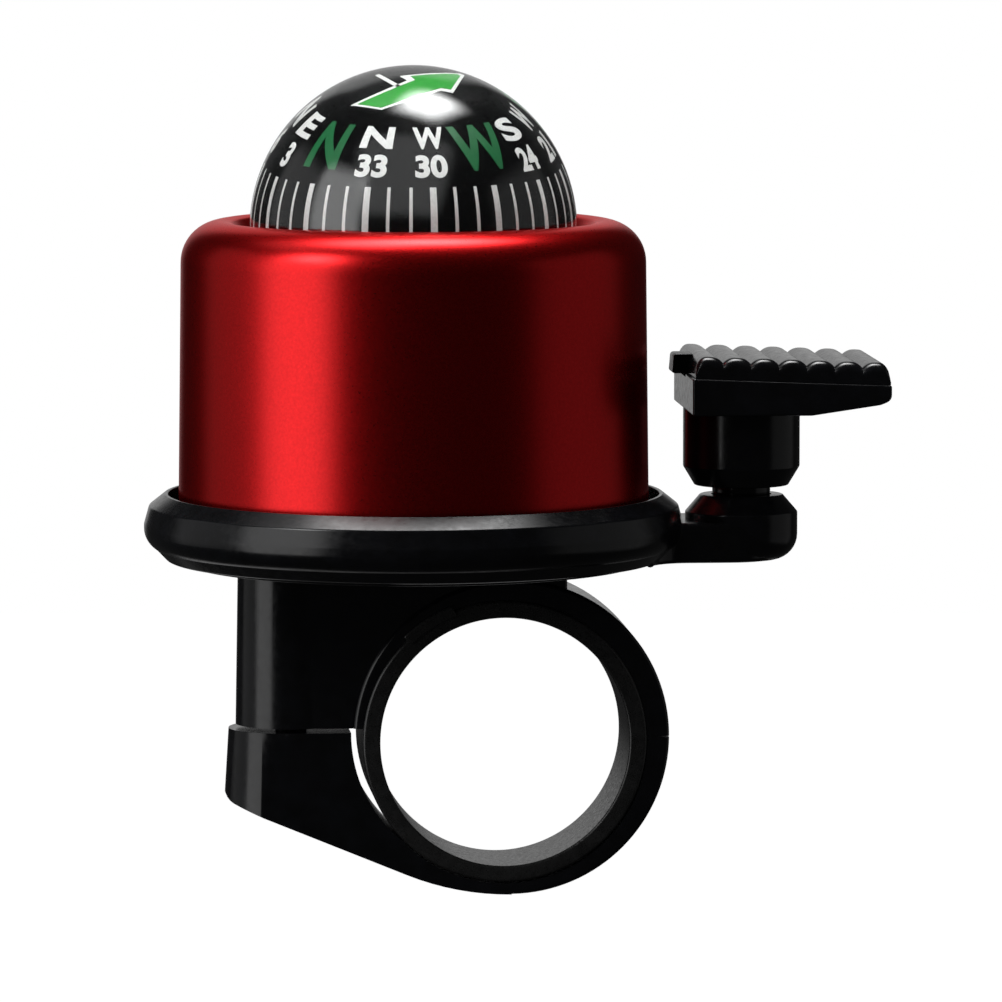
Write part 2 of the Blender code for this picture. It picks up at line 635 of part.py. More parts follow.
def make_striker_spring():
    curve = bpy.data.curves.new("striker_spring", "CURVE")
    curve.dimensions = "3D"
    curve.bevel_depth = SPRING_WIRE_R * MM
    curve.bevel_resolution = 2
    curve.use_fill_caps = True
    path = spring_path()
    spline = curve.splines.new("POLY")
    spline.points.add(len(path) - 1)
    for point, (x, y, z) in zip(spline.points, path):
        point.co = (x * MM, y * MM, z * MM, 1)
    spring = bpy.data.objects.new("striker_spring", curve)
    spring.location = (LEVER_X * MM, 0, 0)
    return finish_part(spring, (STEEL, 0.3, 1.0))


def make_spring_pin(name, z):
    return finish_part(rod_along_y(name, LEVER_X, z, PIN_R, PIN_HALF_LENGTH, 12), (STEEL, 0.3, 1.0))


def on_axis(name, x, z, *moving):
    """An empty on a joint's axis, with the pieces that turn or slide there as its children."""
    pivot = bpy.data.objects.new(name, None)
    pivot.empty_display_size = 5 * MM
    pivot.location = (x * MM, 0, z * MM)
    parts.objects.link(pivot)
    for piece in moving:
        piece.parent = pivot
        piece.matrix_parent_inverse = Matrix.Translation((-x * MM, 0, -z * MM))
    return pivot


clear_scene()
parts = new_collection("handlebar_bell")
tools = new_collection("bell_tools")
tools.hide_render = True
make_base_moulding()
make_clamp_liner()
make_clamp_nut()
make_bell_cup()
make_bell_grommet()
make_bell_washer()
make_bell_screw()
make_post_insert()
make_adhesive_ring()
make_compass_base()
make_compass_seal()
make_compass_dome()
make_pivot_needle()
make_striker_spring()
make_spring_pin("lower_spring_pin", LOWER_PIN_Z)
upper_pin = make_spring_pin("upper_spring_pin", UPPER_PIN_Z)
lever = (make_lever_body(), make_thumb_cap(), make_striker_hammer(), upper_pin)
on_axis("lever_axis", LEVER_X, PIVOT_Z, *lever)
card = (make_compass_card(), make_card_float(), make_pivot_jewel(), make_card_magnet())
on_axis("card_axis", BELL_X, DOME_Z, *card)
on_axis("strap_flex_axis", FLEX_X, FLEX_Z, make_clamp_strap())
on_axis("clamp_screw_axis", COLUMN_X, SEAT_Z, make_clamp_screw(), make_clamp_washer())
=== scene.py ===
"""Looks of the handlebar bell: fine meshes and materials for every piece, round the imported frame.

Sizes are in millimetres, and the helpers turn them into metres. X is to the right, Y away and Z up.
A pair (r, z) is a radius and a height, a pair (x, z) is a place in the side view, and a third number
is that corner's radius.
"""

import json
import math

import bmesh
import bpy
from mathutils import Matrix, Vector


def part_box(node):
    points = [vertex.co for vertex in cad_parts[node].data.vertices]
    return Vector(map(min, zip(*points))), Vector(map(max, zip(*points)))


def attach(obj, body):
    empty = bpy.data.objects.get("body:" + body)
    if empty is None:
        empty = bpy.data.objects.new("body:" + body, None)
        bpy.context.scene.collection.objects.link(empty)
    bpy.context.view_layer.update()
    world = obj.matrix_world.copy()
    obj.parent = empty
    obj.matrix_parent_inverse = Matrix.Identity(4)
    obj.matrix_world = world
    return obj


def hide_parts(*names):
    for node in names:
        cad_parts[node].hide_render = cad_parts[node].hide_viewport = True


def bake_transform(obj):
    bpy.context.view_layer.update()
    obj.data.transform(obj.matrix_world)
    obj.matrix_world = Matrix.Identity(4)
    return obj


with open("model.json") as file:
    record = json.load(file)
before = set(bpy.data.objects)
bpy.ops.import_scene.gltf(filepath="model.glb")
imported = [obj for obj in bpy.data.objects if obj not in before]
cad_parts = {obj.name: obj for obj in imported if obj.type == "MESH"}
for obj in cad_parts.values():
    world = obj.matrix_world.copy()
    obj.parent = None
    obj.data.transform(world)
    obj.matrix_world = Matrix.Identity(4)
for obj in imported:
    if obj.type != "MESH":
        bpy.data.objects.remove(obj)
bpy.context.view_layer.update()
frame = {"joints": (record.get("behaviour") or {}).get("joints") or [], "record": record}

MM = 0.001
X, Y, Z = 0, 1, 2
RECORD = frame["record"]
BODY_OF = {node: body for body, nodes in RECORD["behaviour"]["bodies"].items() for node in nodes}


def low(node, axis):
    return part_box(node)[0][axis] / MM


def high(node, axis):
    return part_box(node)[1][axis] / MM


def middle(node, axis):
    return (low(node, axis) + high(node, axis)) / 2


# Axes and levels taken from the frame
BELL_X = middle("bell_cup", X)
LEVER_X = middle("upper_spring_pin", X)
COLUMN_X = middle("clamp_screw", X)
CUP_R = high("bell_cup", X) - BELL_X
CUP_Z, CUP_TOP_Z = low("bell_cup", Z), high("bell_cup", Z)
DISH_R = BELL_X - low("base_moulding", X)
BAND_HALF_WIDTH = high("clamp_strap", Y)
BAND_BOTTOM_Z = low("clamp_strap", Z)
EAR_LEFT_X = low("clamp_strap", X)
LINER_R = (high("clamp_liner", X) - low("clamp_liner", X)) / 2
PAD_X, PAD_END_X = low("lever_body", X), high("lever_body", X)
PAD_HALF_WIDTH = high("lever_body", Y)
DOME_R = high("compass_dome", Y)
DOME_Z = high("compass_dome", Z) - DOME_R
CARD_TOP_Z = high("compass_card", Z)

# Clamp
LINER_WALL = 1.3
BORE_R = LINER_R - LINER_WALL
BAND_BORE_R = LINER_R + 0.3
LINER_CLEARANCE = 0.01  # the liner fills the band but for this gap
LINER_SQUEEZE = 0.14  # how much thinner it is at the very bottom
LINER_TAB_TURN = (111, 133.5)  # the angles between which its tabs lie, from +X up
BAND_R = 14.1
BAND_X, BAND_Z = 0.6, 0.4
WEB_HALF_WIDTH = 4.6
WEB_RIGHT_X = 5.6
SPLIT_Z, SPLIT_GAP = 1.12, 0.36
FLEX_X, FLEX_Z = 13.4, 0.4
FLEX_GAP, FLEX_SLOPE = 0.015, 0.07  # room between the jaws at the hinge, and how it grows past it
UNDERSIDE_SLOPE = math.radians(22.35)
UNDERSIDE_R = 24.6
COLUMN_R_TOP, COLUMN_R_LOW = 4.67, 4.94
COLUMN_FALL = 15.0  # over this height the column's radius grows from top to low
EAR_END_X = -19.4
EAR_R_TOP, EAR_R_LOW = 4.84, 5.98
EAR_TOP_Z, EAR_LOW_Z = 3.0, -16.0
SEAT_Z = -2.0
SCREW_HOLE_R, EAR_HOLE_R, HEAD_POCKET_R = 1.8, 1.9, 3.35
NUT_POCKET_Z, NUT_POCKET_FLATS = 5.0, 6.1
NUT_FLATS, NUT_BORE_R = 5.5, 1.55
HEAD_HEIGHT = 2.0  # of both screws

# Dish, arm and boss
DISH_Z, DISH_FLOOR_Z, RIM_Z = 16.0, 18.0, 21.9
RIM_INNER_R = 21.9
DISH_STEP_R, DISH_STEP_Z = 20.3, 15.65
RIM_R, BEVEL_WIDTH = 2.05, 0.45  # the rim's rolled edge, and how far in its flat bevel starts
POST_R, POST_TOP_Z = 4.5, 34.6
POST_HOLE_R, POST_HOLE_Z = 2.2, 22.0
INSERT_POCKET_R, INSERT_POCKET_Z = 3.2, 25.7
ARM_HALF_WIDTH = 4.8
ARM_Z, ARM_TOP_Z = 15.8, 19.4
ARM_FLARE_R = 3.4
BOSS_R, BOSS_Z, BOSS_TOP_Z = 5.03, 15.7, 21.55
BOSS_EDGE_R, BOSS_TOP_R, BOSS_SHOULDER_Z = 2.3, 3.7, 20.0
PIVOT_Z = frame["joints"][0]["pos_m"][Z] / MM
BALL_R, SOCKET_R, SPRING_BORE_R = 2.6, 2.75, 1.9

# Cup and compass
CUP_WALL = 0.9
SHOULDER_R, LIP_INSET = 3.7, 3.95
WELL_R, WELL_FLOOR_Z, CUP_HOLE_R = 15.0, 37.2, 2.3
WELL_LIP_Z = 44.1
DOME_WALL = 0.6
DOME_SKIRT_Z = low("compass_dome", Z)
CARD_R = 11.0
CARD_WALL = 0.6
CARD_Z = DOME_Z
PLUG_R, PLUG_Z = 12.5, 42.6
SKIRT_R, SKIRT_BORE_R = 14.3, 10.5
NEEDLE_HOLE_R, NEEDLE_HUB_R = 0.6, 1.8
NEEDLE_HOLE_Z = 41.6
FLOAT_HUB_R, FLOAT_HUB_BORE_R = 2.2, 1.2
FLOAT_LOW_Z, FLOAT_POCKET_Z = 46.4, 46.0
LIQUID_OVERLAP = 0.02
CARD_RIM_Z = low("compass_card", Z)
MARK_RISE = 0.04
DOME_IOR, LIQUID_IOR = 1.49, 1.36

# Lever
LEVER_POST_R, LEVER_POST_Z = 5.22, 22.4
PAD_Z = 29.2
POST_CHAMFER_R, POST_CHAMFER_Z = 4.2, 24.1
PAD_TOP_Z, PAD_TOP_END_Z = 32.55, 31.85
PAD_NOSE_X = 27.0  # where the pad's underside starts to rise
LEVER_BORE_R = 2.1
PIN_R = 0.5
HAMMER_CUT_HALF_WIDTH, HAMMER_CUT_GAP = 1.9, 0.3
TONGUE_Z = 33.3  # top of the hammer's end under the cap
CAP_CREST_Z, CAP_CREST_END_Z = 34.5, 33.8
CAP_ROLL_R, CAP_ROLL_DROP = 0.85, 1.15
RIBS, RIB_HEIGHT, RIB_POWER = 7, 0.5, 2.6


# Mesh helpers

NEARLY_STRAIGHT = 86  # degrees; half the angle of a corner that is too flat to round
CORNER_SHARE = 0.45  # a corner's arc takes at most this share of the edges beside it


def place(obj):
    bpy.context.scene.collection.objects.link(obj)
    return obj


def made(name, vertices, faces):
    """A closed mesh object from points in mm, with its faces pointing out."""
    mesh = bpy.data.meshes.new(name)
    mesh.from_pydata([(x * MM, y * MM, z * MM) for x, y, z in vertices], [], faces)
    shape = bmesh.new()
    shape.from_mesh(mesh)
    bmesh.ops.remove_doubles(shape, verts=shape.verts, dist=1e-8)
    bmesh.ops.recalc_face_normals(shape, faces=shape.faces)
    shape.to_mesh(mesh)
    shape.free()
    return place(bpy.data.objects.new(name, mesh))


def arc(centre, radius, start, end, step=5):
    """Points on a circle from angle start to angle end, both included, in degrees."""
    count = max(2, math.ceil(abs(end - start) / step))
    turn = [math.radians(start + (end - start) * i / count) for i in range(count + 1)]
    return [(centre[0] + radius * math.cos(a), centre[1] + radius * math.sin(a)) for a in turn]


def rounded(points, radius, closed=False, step=18):
    """The outline with each corner turned into an arc.

    A third number on a point is that corner's own radius."""
    out = []
    for i, (x, z, *own) in enumerate(points):
        wanted = own[0] if own else radius
        here = Vector((x, z))
        if not wanted or (not closed and i in (0, len(points) - 1)):
            out.append((x, z))
            continue
        back = Vector(points[i - 1][:2]) - here
        ahead = Vector(points[(i + 1) % len(points)][:2]) - here
        half = back.angle(ahead) / 2
        if half > math.radians(NEARLY_STRAIGHT):
            out.append((x, z))
            continue
        reach = min(wanted / math.tan(half), CORNER_SHARE * back.length, CORNER_SHARE * ahead.length)
        size = reach * math.tan(half)
        centre = here + (back.normalized() + ahead.normalized()).normalized() * size / math.sin(half)
        start = here + back.normalized() * reach - centre
        end = here + ahead.normalized() * reach - centre
        first = math.atan2(start.y, start.x)
        sweep = (math.atan2(end.y, end.x) - first + math.pi) % (2 * math.pi) - math.pi
        count = max(2, math.ceil(math.degrees(abs(sweep)) / step))
        for k in range(count + 1):
            turn = first + sweep * k / count
            out.append((centre.x + size * math.cos(turn), centre.y + size * math.sin(turn)))
    return out


def lathe(name, profile, x=0.0, steps=128, closed=False, along_y=False):
    """A profile of (r, z) pairs spun about a vertical axis at x, or about Y."""
    vertices = []
    for i in range(steps):
        c, s = math.cos(2 * math.pi * i / steps), math.sin(2 * math.pi * i / steps)
        vertices += [(r * c, h, r * s) if along_y else (x + r * c, r * s, h) for r, h in profile]
    count = len(profile)
    faces = []
    for i in range(steps):
        here, there = i * count, (i + 1) % steps * count
        for j in range(count if closed else count - 1):
            k = (j + 1) % count
            faces.append((here + j, here + k, there + k, there + j))
    return made(name, vertices, faces)


def prism(name, first, second, edge=0.0):
    """The body between two rings of points, with its sharp edges rounded."""
    count = len(first)
    faces = [tuple(range(count)), tuple(range(count, 2 * count))]
    faces += [(i, (i + 1) % count, (i + 1) % count + count, i + count) for i in range(count)]
    obj = made(name, first + second, faces)
    return bevelled(obj, edge) if edge else obj


def slab(name, outline, back, front, edge=0.0):
    """An (x, z) outline pushed along Y."""
    return prism(name, *([(x, y, z) for x, z in outline] for y in (back, front)), edge)


def block(name, x, y, z):
    """A box from three (low, high) pairs."""
    return slab(name, [(x[0], z[0]), (x[1], z[0]), (x[1], z[1]), (x[0], z[1])], y[0], y[1])


def rod(name, x, z, radius, half_length, edge, steps=48):
    """A rod along Y."""
    outline = [(0, half_length), (radius, half_length), (radius, -half_length), (0, -half_length)]
    obj = lathe(name, rounded(outline, edge), steps=steps, along_y=True)
    obj.data.transform(Matrix.Translation((x * MM, 0, z * MM)))
    return obj


def final_mesh(obj):
    """The mesh that the object's modifiers or its curve make."""
    bpy.context.view_layer.update()
    return bpy.data.meshes.new_from_object(obj.evaluated_get(bpy.context.evaluated_depsgraph_get()))


def applied(obj):
    """The object with its modifiers turned into its mesh."""
    mesh = final_mesh(obj)
    obj.modifiers.clear()
    obj.data = mesh
    return obj


def bevelled(obj, width, segments=3, angle=32):
    edge = obj.modifiers.new("Edge", "BEVEL")
    edge.width = width * MM
    edge.segments = segments
    edge.limit_method = "ANGLE"
    edge.angle_limit = math.radians(angle)
    edge.miter_outer = "MITER_ARC"
    return applied(obj)


def combine(obj, operation, *others):
    """Cuts the others from obj, joins them to it or keeps what they share, and removes the others."""
    for other in others:
        step = obj.modifiers.new(other.name, "BOOLEAN")
        step.operation = operation
        step.solver = "EXACT"
        step.object = other
    applied(obj)
    for other in others:
        bpy.data.objects.remove(other)
    return obj


def cut(obj, *cutters):
    """Takes the cutters out of obj one after the other."""
    for cutter in cutters:
        combine(obj, "DIFFERENCE", cutter)
    return obj


def tidied(obj):
    """Merges what a cut left lying closer than a micrometre, and dissolves the slivers."""
    shape = bmesh.new()
    shape.from_mesh(obj.data)
    bmesh.ops.remove_doubles(shape, verts=shape.verts, dist=1e-6)
    bmesh.ops.dissolve_degenerate(shape, edges=shape.edges, dist=1e-6)
    shape.to_mesh(obj.data)
    shape.free()
    return obj


def shaded(obj, angle=40):
    obj.data.shade_smooth()
    obj.data.set_sharp_from_angle(angle=math.radians(angle))
    weighted = obj.modifiers.new("Shading", "WEIGHTED_NORMAL")
    weighted.keep_sharp = True
    return obj


def stand_for(obj, node, look, angle=40):
    """Shows obj in place of a CAD node, on that node's body and with the given look as its material."""
    obj.name = node + "_fine"
    obj.data.materials.clear()
    obj.data.materials.append(look)
    shaded(obj, angle)
    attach(obj, BODY_OF[node])
    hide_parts(node)
    return obj


# Materials

NOISE_LOW, NOISE_HIGH = 0.3, 0.7  # the part of a noise's range that a look is spread over


def fed(tree, kind, source, socket=0):
    """A new node with the source on one of its sockets."""
    node = tree.nodes.new(kind)
    tree.links.new(source, node.inputs[socket])
    return node


class Look:
    """A Principled material whose textures lie in the object's own space, in mm."""

    def __init__(self, name, colour, roughness, metallic=0.0):
        self.material = bpy.data.materials.new(name)
        self.material.use_nodes = True
        self.tree = self.material.node_tree
        self.shader = self.tree.nodes["Principled BSDF"]
        self.set("Base Color", (*colour, 1.0))
        self.set("Roughness", roughness)
        self.set("Metallic", metallic)
        spot = self.tree.nodes.new("ShaderNodeTexCoord")
        scale = fed(self.tree, "ShaderNodeMapping", spot.outputs["Object"], "Vector")
        scale.inputs["Scale"].default_value = (1 / MM, 1 / MM, 1 / MM)
        self.place = scale.outputs["Vector"]

    def set(self, socket, value):
        self.shader.inputs[socket].default_value = value
        return self

    def noise(self, size, detail=3.0, stretch=(1, 1, 1)):
        """Noise whose features are about size mm across."""
        squash = fed(self.tree, "ShaderNodeVectorMath", self.place)
        squash.operation = "MULTIPLY"
        squash.inputs[1].default_value = stretch
        texture = fed(self.tree, "ShaderNodeTexNoise", squash.outputs[0], "Vector")
        texture.inputs["Scale"].default_value = 1 / size
        texture.inputs["Detail"].default_value = detail
        return texture.outputs["Fac"]

    def rough(self, source, low_value, high_value):
        """Roughness that runs from the low value to the high one with the source."""
        span = fed(self.tree, "ShaderNodeMapRange", source, "Value")
        span.inputs["From Min"].default_value = NOISE_LOW
        span.inputs["From Max"].default_value = NOISE_HIGH
        span.inputs["To Min"].default_value = low_value
        span.inputs["To Max"].default_value = high_value
        self.tree.links.new(span.outputs["Result"], self.shader.inputs["Roughness"])
        return self

    def tint(self, source, first, second):
        """Base colour that runs from first to second with the source."""
        ramp = fed(self.tree, "ShaderNodeValToRGB", source, "Fac")
        start, end = ramp.color_ramp.elements
        start.position, start.color = NOISE_LOW, (*first, 1.0)
        end.position, end.color = NOISE_HIGH, (*second, 1.0)
        self.tree.links.new(ramp.outputs["Color"], self.shader.inputs["Base Color"])
        return self

    def bump(self, source, depth):
        """Relief of up to depth mm, on top of any the look already has."""
        relief = fed(self.tree, "ShaderNodeBump", source, "Height")
        relief.inputs["Strength"].default_value = 1.0
        relief.inputs["Distance"].default_value = depth * MM
        normal = self.shader.inputs["Normal"]
        if normal.is_linked:
            self.tree.links.new(normal.links[0].from_socket, relief.inputs["Normal"])
        self.tree.links.new(relief.outputs["Normal"], normal)
        return self


def black_plastic(name):
    """Glossy moulded plastic: a faint orange peel, fine grain and patches where the gloss drops."""
    look = Look(name, (0.0035, 0.0037, 0.0045), 0.2)
    look.tint(look.noise(1.5), (0.0025, 0.0026, 0.003), (0.0045, 0.0048, 0.006))
    look.rough(look.noise(0.6, 4.0), 0.14, 0.25)
    look.set("Specular IOR Level", 0.42)
    look.bump(look.noise(3.0, 1.0), 0.008)
    look.bump(look.noise(0.15, 2.0), 0.0004)
    return look.material


def anodised_red():
    """Satin red anodising over turned aluminium: fine blasted grain, faint lines round the cup."""
    look = Look("red_anodised", (0.6, 0.006, 0.01), 0.3, metallic=1.0)
    look.tint(look.noise(0.25, 4.0), (0.57, 0.004, 0.006), (0.68, 0.007, 0.009))
    look.rough(look.noise(0.2, 3.0), 0.27, 0.34)
    look.bump(look.noise(0.09, 2.0), 0.0012)
    look.bump(look.noise(0.35, 2.0, stretch=(0.05, 0.05, 1)), 0.0005)
    look.set("Specular Tint", (1.0, 0.25, 0.25, 1.0))
    look.set("Coat Weight", 0.3)
    look.set("Coat Roughness", 0.25)
    return look.material


def rubbery(name, roughness=0.45):
    look = Look(name, (0.012, 0.012, 0.012), roughness)
    look.tint(look.noise(0.8), (0.009, 0.009, 0.009), (0.016, 0.016, 0.016))
    look.rough(look.noise(0.3, 4.0), roughness - 0.08, roughness + 0.08)
    look.bump(look.noise(0.15, 3.0), 0.003)
    return look.material


def metal(name, colour, roughness, lines=(1, 1, 0.1)):
    """Bare or plated metal with drawn lines, and gloss that varies."""
    look = Look(name, colour, roughness, metallic=1.0)
    look.tint(look.noise(1.0), [c * 0.85 for c in colour], colour)
    look.rough(look.noise(0.3, 4.0, lines), roughness - 0.08, roughness + 0.1)
    look.bump(look.noise(0.1, 2.0, lines), 0.001)
    return look.material


def clear(name, ior):
    look = Look(name, (0.97, 0.98, 0.98), 0.02)
    look.set("Transmission Weight", 1.0)
    look.set("IOR", ior)
    look.rough(look.noise(4.0), 0.012, 0.03)
    look.bump(look.noise(6.0, 1.0), 0.004)
    return look.material


def print_black():
    look = Look("card_black", (0.002, 0.002, 0.002), 0.32)
    look.tint(look.noise(0.9, 4.0), (0.0012, 0.0012, 0.0014), (0.0028, 0.0028, 0.003))
    look.set("Specular IOR Level", 0.04)
    look.rough(look.noise(0.4, 3.0), 0.26, 0.4)
    look.bump(look.noise(0.2, 2.0), 0.001)
    return look.material


def ink(name, colour):
    """Screen-printed ink: slightly uneven cover."""
    look = Look(name, colour, 0.4)
    look.tint(look.noise(0.25, 3.0), [c * 0.86 for c in colour], colour)
    look.rough(look.noise(0.2), 0.34, 0.48)
    look.bump(look.noise(0.12, 2.0), 0.002)
    return look.material


def jewel_red():
    look = Look("ruby", (0.5, 0.02, 0.06), 0.08)
    look.tint(look.noise(0.4), (0.42, 0.01, 0.04), (0.55, 0.03, 0.08))
    look.rough(look.noise(0.2), 0.05, 0.12)
    return look.material


PLASTIC = black_plastic("black_plastic")
RUBBER = rubbery("black_rubber")
LINER = rubbery("liner_rubber", 0.3)
FOAM = rubbery("foam_tape", 0.75)
STEEL = metal("zinc_steel", (0.6, 0.6, 0.62), 0.3)
BLACK_STEEL = metal("black_steel", (0.03, 0.03, 0.032), 0.3)
BRASS = metal("brass", (0.75, 0.55, 0.22), 0.3)
MAGNET = metal("magnet", (0.22, 0.22, 0.23), 0.5, lines=(1, 1, 1))
RED = anodised_red()
CLEAR = clear("clear_dome", DOME_IOR)
CARD = print_black()
WHITE_INK = ink("white_ink", (0.9, 0.9, 0.88))
GREEN_INK = ink("green_ink", (0.003, 0.13, 0.035))
BRIGHT_GREEN_INK = ink("bright_green_ink", (0.006, 0.3, 0.015))


# Base moulding


def dish_profile():
    """The dish, its rim rolled over with a flat bevel, and the hollow centre post."""
    post = [(0, POST_HOLE_Z), (POST_HOLE_R, POST_HOLE_Z), (POST_HOLE_R, INSERT_POCKET_Z)]
    post += [(INSERT_POCKET_R, INSERT_POCKET_Z), (INSERT_POCKET_R, POST_TOP_Z), (POST_R, POST_TOP_Z)]
    inside = [(POST_R, 19.5), (6.0, DISH_FLOOR_Z), (RIM_INNER_R - 1.2, DISH_FLOOR_Z)]
    inside += [(RIM_INNER_R, DISH_FLOOR_Z + 1.2), (RIM_INNER_R, RIM_Z, 0.1)]
    rim = [(RIM_INNER_R + 0.3, RIM_Z, 0.1), (DISH_R - BEVEL_WIDTH, RIM_Z - 1.1, 0.4)]
    rim += [(DISH_R, RIM_Z - 2.7, 0.7)] + arc((DISH_R - RIM_R, RIM_Z - 1.0 - RIM_R), RIM_R, -6, -60)
    under = [(DISH_R - RIM_R, DISH_Z, 0.5), (DISH_STEP_R + 0.3, DISH_Z), (DISH_STEP_R, DISH_STEP_Z)]
    return rounded(post + inside + rim + under + [(0, DISH_STEP_Z)], 0.15)


def make_boss():
    """The round end of the arm, chamfered above and rounded below."""
    edge = arc((BOSS_R - BOSS_EDGE_R, BOSS_Z + BOSS_EDGE_R), BOSS_EDGE_R, 0, -90, 10)
    chamfer = [(0, BOSS_TOP_Z), (BOSS_TOP_R, BOSS_TOP_Z), (BOSS_R, BOSS_SHOULDER_Z)]
    profile = rounded(chamfer + edge[:1], 0.25)
    return lathe("boss", profile + edge[1:] + [(0, BOSS_Z)], LEVER_X, 96)


def make_arm():
    """The arm, flared where it leaves the dish and round where it ends inside the boss."""
    start = BELL_X + DISH_R - 4
    wide = ARM_HALF_WIDTH + ARM_FLARE_R
    half = [(start, wide)] + arc((LEVER_X - 5.2, wide), ARM_FLARE_R, 178, 270, 10)
    plan = half + arc((LEVER_X - 1.4, 0), ARM_HALF_WIDTH, 90, -90, 10) + [(x, -y) for x, y in reversed(half)]
    return prism("arm", *([(x, y, z) for x, y in plan] for z in (ARM_Z, ARM_TOP_Z)), 0.45)


def make_web():
    """The plate between column, band and dish."""
    inside_r = BAND_R - 0.7
    right = math.degrees(math.acos(WEB_RIGHT_X / inside_r))
    outline = [(COLUMN_X, DISH_Z + 0.8), (WEB_RIGHT_X, DISH_Z + 0.8)] + arc((0, 0), inside_r, right, 179)
    return slab("web", outline + [(COLUMN_X, 0.3)], -WEB_HALF_WIDTH, WEB_HALF_WIDTH, 0.3)


def make_band(name):
    """The whole band as a disc with rounded edges and its bore."""
    w = BAND_HALF_WIDTH
    band = lathe(name, rounded([(0, w), (BAND_R, w), (BAND_R, -w), (0, -w)], 0.4), along_y=True)
    band.data.transform(Matrix.Translation((BAND_X * MM, 0, BAND_Z * MM)))
    return band


def bore_cut():
    return rod("bore_cut", 0, 0, BAND_BORE_R, BAND_HALF_WIDTH + 2, 0, 128)


def hexagon_cut(name, x, z_low, z_high, flats):
    """A six-sided upright cutter."""
    corner = flats / math.sqrt(3)
    return lathe(name, [(0, z_high), (corner, z_high), (corner, z_low), (0, z_low)], x, 6)


def round_cut(name, x, z_low, z_high, radius, steps=64):
    return lathe(name, [(0, z_high), (radius, z_high), (radius, z_low), (0, z_low)], x, steps)


def pin_slot_cut(z_low, z_high):
    return block("pin_slot_cut", (LEVER_X - 0.8, LEVER_X + 0.8), (-3.3, 3.3), (z_low, z_high))


def make_base_moulding():
    base = lathe("dish", dish_profile(), BELL_X, 192)
    column_r = COLUMN_R_LOW + (COLUMN_R_LOW - COLUMN_R_TOP) / COLUMN_FALL * 0.5
    profile = [(0, DISH_Z + 1.2), (COLUMN_R_TOP, DISH_Z + 1.2), (column_r, 0), (0, 0)]
    column = lathe("column", profile, COLUMN_X, 96)
    jaw = make_band("upper_jaw")
    cut(jaw, bore_cut(), block("below", (-40, 40), (-20, 20), (-40, FLEX_Z)))
    combine(base, "UNION", make_arm(), make_boss(), column, make_web(), jaw)
    low_angle = -math.degrees(math.acos(SPRING_BORE_R / SOCKET_R))
    socket = arc((0, PIVOT_Z), SOCKET_R, 90, low_angle) + [(SPRING_BORE_R, BOSS_Z - 2), (0, BOSS_Z - 2)]
    cuts = [lathe("socket_cut", socket, LEVER_X, 64), pin_slot_cut(BOSS_Z - 1, 17.8)]
    cuts.append(hexagon_cut("nut_cut", COLUMN_X, NUT_POCKET_Z, DISH_FLOOR_Z + 2, NUT_POCKET_FLATS))
    cuts.append(round_cut("screw_cut", COLUMN_X, -2, NUT_POCKET_Z + 1, SCREW_HOLE_R))
    cuts.append(block("split_cut", (-30, -5), (-10, 10), (-5, SPLIT_Z + SPLIT_GAP / 2)))
    cut(base, *cuts)
    return stand_for(tidied(base), "base_moulding", PLASTIC)


# Clamp


def make_clamp_strap():
    """The lower jaw: half the band, a straight underside up to the ear, and the ear's drafted round end."""
    top_z = SPLIT_Z - SPLIT_GAP / 2
    slope = math.degrees(UNDERSIDE_SLOPE)
    blend = arc((BAND_X, BAND_BOTTOM_Z + UNDERSIDE_R), UNDERSIDE_R, -90, -90 - slope, 3)
    corner_z = blend[-1][1] + (blend[-1][0] - EAR_LEFT_X) * math.tan(UNDERSIDE_SLOPE)
    outline = [(BAND_X, top_z), (BAND_X, BAND_BOTTOM_Z)] + blend[1:]
    outline += [(EAR_LEFT_X, corner_z, 1.1), (EAR_LEFT_X, top_z)]
    wedge = slab("clamp_strap", rounded(outline, 0), -BAND_HALF_WIDTH, BAND_HALF_WIDTH)
    profile = [(0, EAR_TOP_Z), (EAR_R_TOP, EAR_TOP_Z), (EAR_R_LOW, EAR_LOW_Z), (0, EAR_LOW_Z)]
    plan = lathe("ear_plan", profile, EAR_END_X, 96)
    reach = BAND_HALF_WIDTH + 1
    rest = block("strap_plan", (EAR_END_X, 20), (-reach, reach), (EAR_LOW_Z, EAR_TOP_Z))
    combine(plan, "UNION", rest)
    combine(wedge, "INTERSECT", plan)
    bevelled(tidied(wedge), 0.35, 3, 30)
    half = make_band("lower_half")
    combine(wedge, "UNION", cut(half, block("above", (-40, 40), (-20, 20), (FLEX_Z, 40))))
    relief = rod("relief", -1.1, 0.9, BAND_BORE_R - 0.1, BAND_HALF_WIDTH + 2, 0, 128)
    cut(wedge, bore_cut(), relief)
    cut(wedge, round_cut("ear_hole", COLUMN_X, SEAT_Z - 1, EAR_TOP_Z, EAR_HOLE_R))
    cut(wedge, round_cut("head_pocket", COLUMN_X, EAR_LOW_Z, SEAT_Z, HEAD_POCKET_R))
    for vertex in tidied(wedge).data.vertices:
        on_top_face = abs(vertex.co.z - FLEX_Z * MM) < 0.01 * MM
        if vertex.co.x > BAND_X * MM and on_top_face:
            vertex.co.z -= FLEX_GAP * MM + FLEX_SLOPE * max(0, vertex.co.x - FLEX_X * MM)
    return stand_for(wedge, "clamp_strap", PLASTIC)


